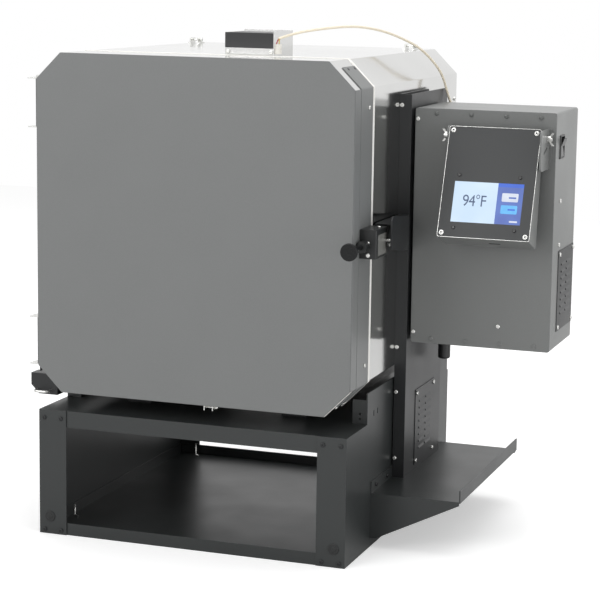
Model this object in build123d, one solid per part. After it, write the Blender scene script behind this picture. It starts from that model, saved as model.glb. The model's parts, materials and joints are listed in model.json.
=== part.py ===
from build123d import *
from dataclasses import dataclass
from math import cos, pi, radians, sin, sqrt
import os

# Heat treat oven: a brick-lined steel body with a side-hinged door, on an open stand, with a control
# box that hangs on a wiring channel at its right side. Millimetres, x to the right, y to the back,
# z up. The origin is the centre of the stand's footprint on the floor.

# Stand
STAND_DEPTH = 548
STAND_HEIGHT = 198
STAND_SHEET = 2
LEG_FLANGE = 46
REAR_FLANGE = 39
RAIL_DROP = 26
TRAY_LIP = 19
EAR_RISE = 48
EAR_FLANGE = 24
EAR_FLANGE_RISE = 38
EAR_SETBACK = 1
EAR_REAR_STEP = 6
EAR_SLOT_WIDTH = 3.5
EAR_SLOT_HEIGHT = 9
EAR_SLOT_RISE = 7
EAR_SLOT_OFFSETS = (30, 49)
PLUG_HOLE_RADIUS = 7
PLUG_RIM = 1.6
PLUG_THICKNESS = 1.5
PLUG_INSET = 18
PLUG_HEIGHT = 28
FRONT_SCREW_INSETS = (9, 37)
REAR_SCREW_INSETS = (7, 29)
RAIL_SCREW_DROP = 12.5
LIP_SCREW_HEIGHT = 6.7
EAR_HOLE_INSET = 12
EAR_HOLE_RISES = (8, 16)
EAR_HOLE_RADIUS = 1.6
RUNNER_SPACING = 300
RUNNER_WIDTH = 40
RUNNER_SHEET = 3
RUNNER_MARGIN = 10
BODY_LIFT = 29

# Side shelf
SHELF_HEIGHT = 86
SHELF_WIDTH = 143
SHELF_FRONT = -155
SHELF_DEPTH = 359
SHELF_SHEET = 2
SHELF_LIP = 18
GUSSET_DROP = 69
GUSSET_TOE = 10
GUSSET_TIP = 4
GUSSET_FLANGE = 20
SHELF_SCREW_OFFSETS = (22, 78, 340)

# Oven shell, shared by the body and the door
OVEN_WIDTH = 508
OVEN_HEIGHT = 522
CORNER_CUT = 40
CORNER_ROUND = 3
JACKET_SHEET = 1.5
BRICK_THICKNESS = 76
BODY_DEPTH = 452
REAR_SPACE = 18.5
BACK_COVER_SHEET = 1.5
COVER_SLOT_WIDTH = 90
COVER_SLOT_HEIGHT = 5
COVER_SLOT_PITCH = 22
COVER_SLOT_ROWS = 5
COVER_SLOT_SPREAD = 210
COVER_SCREW_INSET = 14
JACKET_SCREW_INSET = 12
JACKET_SCREW_RISE = 440

# Heating elements: hairpins in grooves of the side bricks
ELEMENT_RADIUS = 5
ELEMENT_CLEARANCE = 0.3
ELEMENT_ROW_PITCH = 80
ELEMENT_ROWS = 4
ELEMENT_FRONT_MARGIN = 24
TAIL_RADIUS = 2
TAIL_CLEARANCE = 0.1
BUSHING_RADIUS = 5
BUSHING_PROUD = 4
TERMINAL_RADIUS = 4
TERMINAL_LENGTH = 9
TAIL_PROUD = 10

# Door
DOOR_PLATE_SHEET = 2
DOOR_PLATE_CHAMFER = 0.5
BACKING_THICKNESS = 12
SEAL_THICKNESS = 3.7
SEAL_WIDTH = 34
DOOR_GAP = 0.3
DOOR_JACKET_DEPTH = 81
SIDE_COVER_SHEET = 1.2
SIDE_COVER_OFFSET = 28
SIDE_COVER_WIDTH = 55
SIDE_COVER_REACH = 29
SIDE_COVER_SCREW_OFFSET = 36
SIDE_COVER_SCREW_INSET = 29

# Tension clamps of the jackets
CLAMP_GAP = 12
CLAMP_FOOT = 5
CLAMP_WIDTH = 22
CLAMP_SHEET = 1.5
CLAMP_RISE = 9
BODY_CLAMP_PLACES = (-205, 185)
BODY_CLAMP_INSET = 46
DOOR_CLAMP_X = 27
DOOR_CLAMP_OFFSET = 20

# Hinges
HINGE_PIN_OUT = 28
HINGE_PIN_BACK = 70
HINGE_PIN_RADIUS = 5
HINGE_CLEARANCE = 0.05
HINGE_RISE = 253
HINGE_SPACING = 375
HINGE_HEIGHT = 77
HINGE_SCREW_SPREAD = 38.5
HINGE_SHEET = 1.5
HINGE_PIN_HEAD_RADIUS = 8
HINGE_PIN_HEAD = 4
HINGE_REACH = 18.5
HINGE_NOSE = 10
HINGE_SIDE_GAP = 2.5
HINGE_PLATE_DEPTH = 52
KNUCKLE_RADIUS = 8.5
KNUCKLE_GAP = 0.3
LEAF_PLATE_DEPTH = 44
LEAF_PLATE_OFFSET = 8
LEAF_ARM_OFFSET = 42
LEAF_ARM_THICKNESS = 4

# Lower bracket, beside the door's bottom corner
LOWER_BRACKET_OUT = 46
LOWER_BRACKET_BOTTOM = 9
LOWER_BRACKET_HEIGHT = 33
LOWER_BRACKET_CUT = 14
LOWER_BRACKET_OFFSET = 60
LOWER_BRACKET_SHEET = 2.5
LOWER_BRACKET_LAP = 34
LOWER_BRACKET_TOP_DEPTH = 24
LOWER_BRACKET_SCREW_INSET = 8.25
STIRRUP_WIRE = 2
STIRRUP_LENGTH = 24
STIRRUP_DEPTH = 15
STIRRUP_INSET = 10
STIRRUP_RISE = 7

# Latch
LATCH_HOUSING_WIDTH = 26
LATCH_HOUSING_DEPTH = 52
LATCH_HOUSING_HEIGHT = 43
LATCH_HOUSING_RISE = 235
LATCH_HOUSING_OFFSET = 30
LATCH_HOUSING_ROUND = 1.5
KNOB_RISE = 18.6
KNOB_INSET = 7
KNOB_RADIUS = 13
KNOB_DISC = 3
KNOB_FLARE = 12
KNOB_STEM_RADIUS = 4
KNOB_PROUD = 70
KNOB_STEM_DEPTH = 24
KNOB_COLLAR_RADIUS = 8.5
KNOB_COLLAR_LENGTH = 16
LATCH_TRAVEL = 8
SLIDE_CLEARANCE = 0.05
BOLT_RADIUS = 2
BOLT_PROUD = 8.5
BOLT_BURIED = 14
BOLT_REAR_INSET = 6
BOLT_RISE = 23
LATCH_SCREW_RISE = 5.5
LATCH_SCREW_GRIP = 10
LATCH_SCREW_INSET = 12.5
STRIKE_GAP = 0.3
STRIKE_SHEET = 2.5
STRIKE_BELOW = 35
STRIKE_HEIGHT = 56
STRIKE_NOSE_LAP = 6
STRIKE_NOSE_ABOVE = 36
STRIKE_NOSE_BELOW = 13
STRIKE_NOSE_CUT = 6
STRIKE_BEND = 63
STRIKE_TOP_SETBACK = 3
STRIKE_SIDE_GAP = 3
STRIKE_SCREW_SPREAD = 40

# Roof junction box
JUNCTION_LEFT = 13.5
JUNCTION_WIDTH = 79.5
JUNCTION_SETBACK = 4
JUNCTION_DEPTH = 80
JUNCTION_HEIGHT = 37
JUNCTION_SHEET = 1.5
JUNCTION_LIP = 11
JUNCTION_COVER_SHEET = 1.2
JUNCTION_COVER_DROP = 3
JUNCTION_SCREW_INSET = 5
TERMINAL_BLOCK_WIDTH = 8.2
TERMINAL_BLOCK_DEPTH = 8.5
TERMINAL_BLOCK_HEIGHT = 15
TERMINAL_BLOCK_FRONT = 2
TERMINAL_BLOCK_RISE = 3
TERMINAL_GROOVE = 1
PROBE_RADIUS = 3
PROBE_CLEARANCE = 0.1
PROBE_REACH = 50
PROBE_HEAD_RADIUS = 9
PROBE_HEAD = 12
PROBE_SETBACK = 38
PROBE_INSET = 40

# Thermocouple lead, from the terminal block over the roof to the back of the control box
LEAD_DIAMETER = 4
WIRE_RADIUS = 0.8
WIRE_SPREAD = 1.3
WIRE_OVERLAP = 1.5
WIRE_SEAT = 0.3
LEAD_ROUTE = [
    (97.2, -167.8, 775),
    (113.9, -147, 782.8),
    (138.5, -122, 788.6),
    (175.8, -82, 793.9),
    (195, -47, 792),
    (212, -2, 785),
    (229, 40, 773),
    (246.7, 73, 758.6),
    (260.6, 103, 737),
    (272, 123, 714),
    (280, 134, 676),
    (287, 142, 656),
    (296, 146, 638),
    (303, 138, 622),
    (303, 120, 622),
]
RUN_SHARE = 0.45

# Wiring channel
CHANNEL_WIDTH = 19
CHANNEL_DEPTH = 200
CHANNEL_FRONT = -50
CHANNEL_RISE = 465
CHANNEL_SHEET = 2
CHANNEL_CORNER_CUT = 50
CHANNEL_SCREW_INSET = 3.6
CHANNEL_SCREW_RISES = (31, 138, 210)
CHANNEL_TOP_SCREW_DROP = 17
CHANNEL_VENT_OFFSET = 55
CHANNEL_VENT_RISE = 8
CHANNEL_VENT_SIZE = (106, 123)

# Control box
BOX_BOSS = 4
BOX_BOSS_RADIUS = 8
BOX_BOSS_MARGIN = 30
BOX_WIDTH = 222
BOX_HEIGHT = 367
BOX_DEPTH = 150
BOX_RISE = 77.5
BOX_FRONT = -43
BOX_SHEET = 1.5
BOX_CORNER_ROUND = 4
DIMPLE_RADIUS = 3.2
DIMPLE_HEIGHT = 1.6
DIMPLE_OFFSETS = (34, 89, 144, 198)
DIMPLE_MARGIN = 8
BOX_EDGE_SCREW_INSET = 4.6
BOX_EDGE_SCREW_MARGIN = 17
BOX_FRONT_SCREW = (140.5, 35)
BOX_SIDE_SCREW_OFFSET = 40
BOX_SIDE_SCREW_RISES = (162, 230)
BOX_VENT_OFFSET = 41
BOX_VENT_RISE = 26
BOX_VENT_SIZE = (106, 126)

# Louvred vent plates
VENT_SHEET = 1
VENT_SCREW_INSET = 6
LOUVRE_LENGTH = 30
LOUVRE_HEIGHT = 4
LOUVRE_PROUD = 1.5
LOUVRE_PITCH = 11
LOUVRE_ROWS = 8
LOUVRE_COLUMNS = 2

# Power switch on the control box's right side
SWITCH_OFFSET = 26
SWITCH_WIDTH = 27
SWITCH_HEIGHT = 36
SWITCH_BOTTOM = 295.5
SWITCH_BEZEL = 2
SWITCH_BODY_DEPTH = 24
SWITCH_LAP = 1
SWITCH_WALL = 1.4
SWITCH_BEARING = 0.9
ROCKER_PIVOT_DEPTH = 5
ROCKER_WING = 14
ROCKER_RISE = 9
ROCKER_DIP = 3
ROCKER_SIDE_GAP = 0.3
ROCKER_TILT = 9
ROCKER_PIN_RADIUS = 1.5
ROCKER_PIN_REACH = 0.8
ROCKER_BACK_SHARE = 0.6

# Display on the control box's front
DISPLAY_LEFT = 61.4
DISPLAY_WIDTH = 142
DISPLAY_LENGTH = 173
DISPLAY_TILT = 20.5
DISPLAY_PROUD = 80.7
DISPLAY_RISE = 181
DISPLAY_PLATE_SHEET = 2
DISPLAY_CORNER_ROUND = 3
DISPLAY_TOP_DEPTH = 14
DISPLAY_BOTTOM_DEPTH = 50
DISPLAY_WALL = 1.5
DISPLAY_SCREW_INSET = 6.5
DISPLAY_BOSS = 10
DISPLAY_BOSS_DEPTH = 8
SCREEN_WIDTH = 107
SCREEN_HEIGHT = 63
SCREEN_OFFSET = 18.4
SCREEN_RISE = 24
SCREEN_THICKNESS = 4
SCREEN_INSET = 0.6
SCREEN_CLEARANCE = 0.1
BOARD_MARGIN = 8
BOARD_THICKNESS = 10
STUD_RISES = (15, 97)
STUD_INSET = 24
PIVOT_FROM_TOP = 12
PIVOT_DEPTH = 10.5
PIVOT_BOLT_RADIUS = 3
PIVOT_SHOULDER_RADIUS = 6
LEFT_SHOULDER = 1
RIGHT_SHOULDER = 5.6
PIVOT_CLEARANCE = 0.05
PIVOT_SIDE_GAP = 0.2
CHEEK_SHEET = 2.5
CHEEK_ABOVE = 15
LEFT_CHEEK_DEPTH = 24
LEFT_CHEEK_BELOW = 15
RIGHT_CHEEK_DEPTH = 54
RIGHT_CHEEK_BELOW = 46
CHEEK_ROUND = 8
CHEEK_FLANGE = 6
CHEEK_SLOT_DROP = 16
CHEEK_SLOT_OFFSET = 10
CHEEK_SLOT_LENGTH = 25
CHEEK_SLOT_WIDTH = 4
CHEEK_SLOT_TILT = 20
WING_HUB_RADIUS = 5.5
WING_HUB_LENGTH = 5
WING_SPAN = 9.5
WING_REACH = 10
WING_TIP = 3.5
WING_THICKNESS = 2.4
BOLT_END_PROUD = 2

# Parts inside the control box, and its glands
CONTACTOR_SIZE = (44, 46, 62)
CONTACTOR_GAP = 12
CONTACTOR_RISE = 60
CONTACTOR_INSET = 70
CONTACTOR_CAP = (30, 10, 40)
POWER_SUPPLY_SIZE = (88, 34, 60)
POWER_SUPPLY_RISE = 170
POWER_SUPPLY_INSET = 40
GLAND_RADIUS = 9
GLAND_NUT = 5
GLAND_BARREL_RADIUS = 6.5
POWER_GLAND_PLACE = (20, 128)
POWER_GLAND_RADIUS = 13
POWER_GLAND_NUT = 8
POWER_GLAND_DOME_RADIUS = 10
POWER_GLAND_DOME = 48
POWER_GLAND_BORE = 5
GLAND_THREAD = 6


@dataclass
class ScrewKind:
    """The sizes of one kind of pan-head screw."""

    head_radius: float
    head_height: float
    shank_radius: float


PANEL_SCREW = ScrewKind(3.4, 2.4, 1.9)
CLAMP_SCREW = ScrewKind(3.2, 4.6, 1.8)
SMALL_SCREW = ScrewKind(2.8, 1.8, 1.4)
SCREW_DOME = 0.55
SCREW_CROSS = 1.1
SCREW_CROSS_WIDTH = 0.3
SCREW_CROSS_DEPTH = 0.35
SCREW_CLEARANCE = 0.1

# Places worked out from the sizes above
STAND_FRONT = -STAND_DEPTH / 2
STAND_REAR = STAND_DEPTH / 2
OVEN_SIDE = OVEN_WIDTH / 2
STAND_SIDE = OVEN_SIDE - SHELF_SHEET
STAND_INSIDE = STAND_SIDE - STAND_SHEET
BODY_BOTTOM = STAND_HEIGHT + BODY_LIFT
BODY_TOP = BODY_BOTTOM + OVEN_HEIGHT
BODY_CENTRE = BODY_BOTTOM + OVEN_HEIGHT / 2
BODY_REAR = STAND_REAR
BODY_FRONT = BODY_REAR - BODY_DEPTH
EAR_FRONT = BODY_FRONT + EAR_SETBACK
BACK_BRICK_REAR = BODY_REAR - BACK_COVER_SHEET - REAR_SPACE
BACK_BRICK_FRONT = BACK_BRICK_REAR - BRICK_THICKNESS
LINING = JACKET_SHEET + BRICK_THICKNESS
CHAMBER_SIDE = OVEN_SIDE - LINING
CHAMBER_BOTTOM = BODY_BOTTOM + LINING
CHAMBER_TOP = BODY_TOP - LINING
DOOR_STACK = DOOR_PLATE_SHEET + BACKING_THICKNESS + BRICK_THICKNESS + SEAL_THICKNESS
DOOR_FRONT = BODY_FRONT - DOOR_GAP - DOOR_STACK
DOOR_PLATE_REAR = DOOR_FRONT + DOOR_PLATE_SHEET
PIN_X = -OVEN_SIDE - HINGE_PIN_OUT
PIN_Y = DOOR_FRONT + HINGE_PIN_BACK
HINGE_MIDDLE = BODY_BOTTOM + HINGE_RISE
CHANNEL_LEFT = OVEN_SIDE
CHANNEL_RIGHT = CHANNEL_LEFT + CHANNEL_WIDTH
CHANNEL_REAR = CHANNEL_FRONT + CHANNEL_DEPTH
CHANNEL_TOP = BODY_BOTTOM + CHANNEL_RISE
BOX_LEFT = CHANNEL_RIGHT + BOX_BOSS
BOX_RIGHT = BOX_LEFT + BOX_WIDTH
BOX_REAR = BOX_FRONT + BOX_DEPTH
BOX_BOTTOM = BODY_BOTTOM + BOX_RISE
BOX_TOP = BOX_BOTTOM + BOX_HEIGHT
COVER_SIDE = OVEN_SIDE + SIDE_COVER_SHEET
LATCH_RIGHT = COVER_SIDE + LATCH_HOUSING_WIDTH
LATCH_FRONT = DOOR_FRONT + LATCH_HOUSING_OFFSET
LATCH_REAR = LATCH_FRONT + LATCH_HOUSING_DEPTH
LATCH_BOTTOM = BODY_BOTTOM + LATCH_HOUSING_RISE
KNOB_HEIGHT = LATCH_BOTTOM + KNOB_RISE
BOLT_HEIGHT = LATCH_BOTTOM + BOLT_RISE
BOLT_Y = LATCH_REAR - BOLT_REAR_INSET
BOLT_TIP = LATCH_RIGHT + BOLT_PROUD
STRIKE_LEFT = BOLT_TIP + STRIKE_GAP
STRIKE_BOTTOM = BOLT_HEIGHT - STRIKE_BELOW
JUNCTION_RIGHT = JUNCTION_LEFT + JUNCTION_WIDTH
JUNCTION_FRONT = BODY_FRONT + JUNCTION_SETBACK
JUNCTION_REAR = JUNCTION_FRONT + JUNCTION_DEPTH
DISPLAY_CENTRE = BOX_LEFT + DISPLAY_LEFT + DISPLAY_WIDTH / 2
DISPLAY_PLANE = Plane(
    origin=(DISPLAY_CENTRE, BOX_FRONT - DISPLAY_PROUD, BOX_BOTTOM + DISPLAY_RISE),
    x_dir=(1, 0, 0),
    z_dir=(0, -cos(radians(DISPLAY_TILT)), sin(radians(DISPLAY_TILT))),
)
PIVOT_RISE = DISPLAY_LENGTH - PIVOT_FROM_TOP
PIVOT_PLACE = DISPLAY_PLANE.from_local_coords((0, PIVOT_RISE, -PIVOT_DEPTH))


# Shapes that many pieces share


def block(x, y, z):
    """A box between the two limits given along each axis."""
    centre = Pos((x[0] + x[1]) / 2, (y[0] + y[1]) / 2, (z[0] + z[1]) / 2)
    return centre * Box(x[1] - x[0], y[1] - y[0], z[1] - z[0])


def prism_x(points, x):
    """A solid whose outline in y and z runs along x between two limits."""
    outline = make_face(Polyline(*[(x[0], y, z) for y, z in points], close=True))
    return extrude(outline, x[1] - x[0], dir=(1, 0, 0))


def prism_y(points, y):
    """A solid whose outline in x and z runs along y between two limits."""
    outline = make_face(Polyline(*[(x, y[0], z) for x, z in points], close=True))
    return extrude(outline, y[1] - y[0], dir=(0, 1, 0))


def prism_z(points, z):
    """A solid whose outline in x and y runs along z between two limits."""
    outline = make_face(Polyline(*[(x, y, z[0]) for x, y in points], close=True))
    return extrude(outline, z[1] - z[0], dir=(0, 0, 1))


def rod(start, end, radius):
    """A round bar from one point to another."""
    direction = Vector(*end) - Vector(*start)
    return Solid.make_cylinder(radius, direction.length, Plane(origin=start, z_dir=direction))


def group(solids):
    """Separate solids that share one node."""
    return Compound(children=[piece.solid() for piece in solids])


def mirrored(shape):
    """The same shape on the other side of the oven."""
    return mirror(shape, Plane.YZ)


def octagon_prism(inset, y):
    """The oven's eight-sided outline, drawn in by an inset, between two limits along y."""
    side = OVEN_SIDE - inset
    bottom = BODY_BOTTOM + inset
    top = BODY_TOP - inset
    cut = CORNER_CUT - inset * (2 - sqrt(2))
    outline = [
        (-side + cut, bottom), (side - cut, bottom), (side, bottom + cut), (side, top - cut),
        (side - cut, top), (-side + cut, top), (-side, top - cut), (-side, bottom + cut),
    ]
    solid = prism_y(outline, y)
    long_edges = solid.edges().filter_by(Axis.Y)
    return fillet(long_edges, max(CORNER_ROUND - inset, JACKET_SHEET))


def octagon_ring(outer_inset, inner_inset, y):
    """A ring between two insets of the oven's outline."""
    return octagon_prism(outer_inset, y) - octagon_prism(inner_inset, y)


def screws(kind, places, outward, grip):
    """Pan-head screws whose heads stand on a surface at the given places."""
    head = extrude(Circle(kind.head_radius), kind.head_height)
    head = fillet(head.edges().sort_by(Axis.Z)[-1], kind.head_height * SCREW_DOME)
    arm = kind.head_radius * SCREW_CROSS
    slot = kind.head_radius * SCREW_CROSS_WIDTH
    depth = 2 * kind.head_height * SCREW_CROSS_DEPTH
    cross = Box(arm, slot, depth) + Box(slot, arm, depth)
    shape = head - Pos(0, 0, kind.head_height) * cross + extrude(Circle(kind.shank_radius), -grip)
    return [Location(Plane(origin=place, z_dir=outward)) * shape for place in places]


def drilled(shape, kind, places, outward, depth):
    """The shape with a clearance hole for each screw."""
    radius = kind.shank_radius + SCREW_CLEARANCE
    direction = Vector(*outward)
    for place in places:
        start = Vector(*place) + direction
        end = Vector(*place) - direction * depth
        shape = shape - rod(start, end, radius)
    return shape


# Stand


def leg_screw_places(insets, y):
    """The places of the leg screws on the flanges of both legs at one end of the stand."""
    heights = (LIP_SCREW_HEIGHT, STAND_HEIGHT - RAIL_SCREW_DROP)
    return [(side * (STAND_SIDE - inset), y, z) for side in (-1, 1) for inset in insets for z in heights]


def front_screw_places():
    """The places of the leg screws on the front flanges."""
    return leg_screw_places(FRONT_SCREW_INSETS, STAND_FRONT)


def rear_screw_places():
    """The places of the leg screws on the rear flanges."""
    return leg_screw_places(REAR_SCREW_INSETS, STAND_REAR)


LEG_GRIP = 2 * STAND_SHEET + 2


def with_leg_holes(shape):
    """The shape with the holes of all leg screws."""
    shape = drilled(shape, PANEL_SCREW, front_screw_places(), (0, -1, 0), LEG_GRIP + 1)
    return drilled(shape, PANEL_SCREW, rear_screw_places(), (0, 1, 0), LEG_GRIP + 1)


def stand_side():
    """The right side panel with its leg flanges and its raised ear, before the shelf's holes."""
    ear_top = STAND_HEIGHT + EAR_RISE
    ear_rear = STAND_REAR - EAR_REAR_STEP
    outline = [
        (STAND_FRONT, 0), (STAND_REAR, 0), (STAND_REAR, STAND_HEIGHT), (ear_rear, STAND_HEIGHT),
        (ear_rear, ear_top), (EAR_FRONT, ear_top), (EAR_FRONT, STAND_HEIGHT), (STAND_FRONT, STAND_HEIGHT),
    ]
    panel = prism_x(outline, (STAND_INSIDE, STAND_SIDE))
    leg = (0, STAND_HEIGHT)
    front_flange = block((STAND_SIDE - LEG_FLANGE, STAND_SIDE), (STAND_FRONT, STAND_FRONT + STAND_SHEET), leg)
    rear_flange = block((STAND_SIDE - REAR_FLANGE, STAND_SIDE), (STAND_REAR - STAND_SHEET, STAND_REAR), leg)
    ear_flange = block(
        (STAND_SIDE - EAR_FLANGE, STAND_SIDE),
        (EAR_FRONT, EAR_FRONT + STAND_SHEET),
        (STAND_HEIGHT, STAND_HEIGHT + EAR_FLANGE_RISE),
    )
    side = panel + front_flange + rear_flange + ear_flange
    slot_bottom = STAND_HEIGHT + EAR_SLOT_RISE
    for offset in EAR_SLOT_OFFSETS:
        slot_y = EAR_FRONT + offset
        side = side - block(
            (STAND_INSIDE - 1, STAND_SIDE + 1),
            (slot_y, slot_y + EAR_SLOT_WIDTH),
            (slot_bottom, slot_bottom + EAR_SLOT_HEIGHT),
        )
    for rise in EAR_HOLE_RISES:
        hole_x = STAND_SIDE - EAR_HOLE_INSET
        hole_z = STAND_HEIGHT + rise
        start = (hole_x, EAR_FRONT - 1, hole_z)
        side = side - rod(start, (hole_x, EAR_FRONT + STAND_SHEET + 1, hole_z), EAR_HOLE_RADIUS)
    plug_x = STAND_SIDE - PLUG_INSET
    plug_front = (plug_x, STAND_FRONT - 1, PLUG_HEIGHT)
    plug_rear = (plug_x, STAND_FRONT + STAND_SHEET + 1, PLUG_HEIGHT)
    return with_leg_holes(side - rod(plug_front, plug_rear, PLUG_HOLE_RADIUS))


def stand_side_right():
    """The right side panel, drilled for the shelf."""
    return drilled(stand_side(), PANEL_SCREW, shelf_screw_places(), (1, 0, 0), SHELF_SHEET + STAND_SHEET + 1)


def stand_side_left():
    """The left side panel, drilled for the lower bracket."""
    depth = LOWER_BRACKET_SHEET + STAND_SHEET + 1
    return drilled(mirrored(stand_side()), PANEL_SCREW, lower_bracket_screw_places(), (-1, 0, 0), depth)


def stand_deck():
    """The stand's top sheet with a drop behind the leg flanges at the front and the rear."""
    across = (-STAND_INSIDE, STAND_INSIDE)
    front = STAND_FRONT + STAND_SHEET
    rear = STAND_REAR - STAND_SHEET
    drop = (STAND_HEIGHT - RAIL_DROP, STAND_HEIGHT)
    deck = block(across, (front, rear), (STAND_HEIGHT - STAND_SHEET, STAND_HEIGHT))
    deck = deck + block(across, (front, front + STAND_SHEET), drop)
    deck = deck + block(across, (rear - STAND_SHEET, rear), drop)
    return with_leg_holes(deck)


def stand_floor():
    """The tray at the bottom of the stand, with a lip all round."""
    across = (-STAND_INSIDE, STAND_INSIDE)
    along = (STAND_FRONT + STAND_SHEET, STAND_REAR - STAND_SHEET)
    tray = block(across, along, (0, TRAY_LIP))
    inner_across = (-STAND_INSIDE + STAND_SHEET, STAND_INSIDE - STAND_SHEET)
    inner_along = (along[0] + STAND_SHEET, along[1] - STAND_SHEET)
    tray = tray - block(inner_across, inner_along, (STAND_SHEET, TRAY_LIP + 1))
    return with_leg_holes(tray)


def stand_plugs():
    """The round plugs in the leg flanges."""
    plugs = []
    for side in (-1, 1):
        x = side * (STAND_SIDE - PLUG_INSET)
        cap_front = STAND_FRONT - PLUG_THICKNESS
        cap = rod((x, cap_front, PLUG_HEIGHT), (x, STAND_FRONT, PLUG_HEIGHT), PLUG_HOLE_RADIUS + PLUG_RIM)
        neck_rear = STAND_FRONT + STAND_SHEET
        neck = rod(
            (x, STAND_FRONT, PLUG_HEIGHT), (x, neck_rear, PLUG_HEIGHT), PLUG_HOLE_RADIUS - SCREW_CLEARANCE
        )
        plug = Part() + cap + neck
        rim = plug.edges().filter_by(GeomType.CIRCLE).sort_by(Axis.Y)[0]
        plugs.append(fillet(rim, PLUG_THICKNESS * SCREW_DOME))
    return group(plugs)


def body_runners():
    """The two channels that carry the body above the stand's deck."""
    along = (BODY_FRONT + RUNNER_MARGIN, BODY_REAR - RUNNER_MARGIN)
    runners = []
    for side in (-1, 1):
        outer = side * RUNNER_SPACING / 2
        inner = outer - side * RUNNER_WIDTH
        hollow_start = outer - side * RUNNER_SHEET
        hollow_end = inner - side
        runner = block(sorted((inner, outer)), along, (STAND_HEIGHT, BODY_BOTTOM))
        hollow_z = (STAND_HEIGHT + RUNNER_SHEET, BODY_BOTTOM - RUNNER_SHEET)
        longer = (along[0] - 1, along[1] + 1)
        runners.append(runner - block(sorted((hollow_end, hollow_start)), longer, hollow_z))
    return group(runners)


# Side shelf


def shelf_screw_places():
    """The places of the screws on the shelf's inner flange."""
    x = STAND_SIDE + SHELF_SHEET
    z = SHELF_HEIGHT + SHELF_LIP / 2
    return [(x, SHELF_FRONT + offset, z) for offset in SHELF_SCREW_OFFSETS]


def side_shelf():
    """The shelf on the right side panel, with an outer lip and an inner flange."""
    inner = STAND_SIDE
    outer = STAND_SIDE + SHELF_WIDTH
    along = (SHELF_FRONT, SHELF_FRONT + SHELF_DEPTH)
    bottom = SHELF_HEIGHT - SHELF_SHEET
    top = SHELF_HEIGHT + SHELF_LIP
    shelf = block((inner, outer), along, (bottom, SHELF_HEIGHT))
    shelf = shelf + block((outer - SHELF_SHEET, outer), along, (bottom, top))
    shelf = shelf + block((inner, inner + SHELF_SHEET), along, (bottom, top))
    return drilled(shelf, PANEL_SCREW, shelf_screw_places(), (1, 0, 0), SHELF_SHEET + 1)


def shelf_gussets():
    """The triangular plates under both ends of the shelf, each with a flange on the side panel."""
    top = SHELF_HEIGHT - SHELF_SHEET
    bottom = top - GUSSET_DROP
    tip = STAND_SIDE + SHELF_WIDTH - SHELF_SHEET
    outline = [
        (STAND_SIDE, top), (tip, top), (tip, top - GUSSET_TIP),
        (STAND_SIDE + GUSSET_TOE, bottom), (STAND_SIDE, bottom),
    ]
    front = SHELF_FRONT
    rear = SHELF_FRONT + SHELF_DEPTH
    wall = (STAND_SIDE, STAND_SIDE + SHELF_SHEET)
    front_plate = prism_y(outline, (front, front + SHELF_SHEET))
    rear_plate = prism_y(outline, (rear - SHELF_SHEET, rear))
    return group([
        front_plate + block(wall, (front, front + GUSSET_FLANGE), (bottom, top)),
        rear_plate + block(wall, (rear - GUSSET_FLANGE, rear), (bottom, top)),
    ])


# Oven body


def probe_place():
    """The place of the thermocouple probe in x and y."""
    return JUNCTION_LEFT + PROBE_INSET, BODY_FRONT + PROBE_SETBACK


def probe_hole():
    """The round hole of the thermocouple probe, from above the junction box into the chamber."""
    x, y = probe_place()
    return rod((x, y, CHAMBER_TOP - 1), (x, y, BODY_TOP + JUNCTION_SHEET + 1), PROBE_RADIUS + PROBE_CLEARANCE)


def body_jacket():
    """The polished sheet round the body."""
    ring = octagon_ring(0, JACKET_SHEET, (BODY_FRONT, BODY_REAR))
    return drilled(ring - probe_hole(), PANEL_SCREW, jacket_screw_places(), (1, 0, 0), JACKET_SHEET + 1)


def jacket_screw_places():
    """The place of the screw at the rear of the body jacket's right side."""
    y = BODY_REAR - JACKET_SCREW_INSET
    return [(OVEN_SIDE, y, BODY_BOTTOM + JACKET_SCREW_RISE)]


def lining():
    """The whole brick lining in front of the back bricks, with no chamber in it."""
    return octagon_prism(JACKET_SHEET, (BODY_FRONT, BACK_BRICK_FRONT))


def lining_slab(x, z):
    """The stretch of the lining between two limits in x and z."""
    return lining() & block(x, (BODY_FRONT - 1, BACK_BRICK_FRONT + 1), z)


def brick_floor():
    """The floor bricks."""
    return lining_slab((-OVEN_WIDTH, OVEN_WIDTH), (0, CHAMBER_BOTTOM))


def brick_roof():
    """The roof bricks, with the hole of the thermocouple probe."""
    return lining_slab((-OVEN_WIDTH, OVEN_WIDTH), (CHAMBER_TOP, BODY_TOP)) - probe_hole()


def element_heights():
    """The height of each row of the heating elements, from the bottom up."""
    middle = (CHAMBER_BOTTOM + CHAMBER_TOP) / 2
    lowest = middle - ELEMENT_ROW_PITCH * (ELEMENT_ROWS - 1) / 2
    return [lowest + row * ELEMENT_ROW_PITCH for row in range(ELEMENT_ROWS)]


def element_pairs():
    """The heights of the two runs of each hairpin."""
    heights = element_heights()
    return list(zip(heights[0::2], heights[1::2]))


ELEMENT_X = CHAMBER_SIDE + ELEMENT_RADIUS + ELEMENT_CLEARANCE
ELEMENT_FRONT = BODY_FRONT + ELEMENT_FRONT_MARGIN


def brick_right():
    """The right side bricks, with the grooves of the heating elements."""
    slab = lining_slab((CHAMBER_SIDE, OVEN_WIDTH), (CHAMBER_BOTTOM, CHAMBER_TOP))
    half = ELEMENT_RADIUS + ELEMENT_CLEARANCE
    groove_x = (CHAMBER_SIDE - 1, CHAMBER_SIDE + 2 * half)
    for low, high in element_pairs():
        for height in (low, high):
            along = (ELEMENT_FRONT - half, BACK_BRICK_FRONT + 1)
            slab = slab - block(groove_x, along, (height - half, height + half))
        bend = (ELEMENT_FRONT - half, ELEMENT_FRONT + half)
        slab = slab - block(groove_x, bend, (low, high))
    return slab


def tail_places():
    """The place of each element tail in x and z."""
    return [(side * ELEMENT_X, height) for side in (-1, 1) for height in element_heights()]


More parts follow.
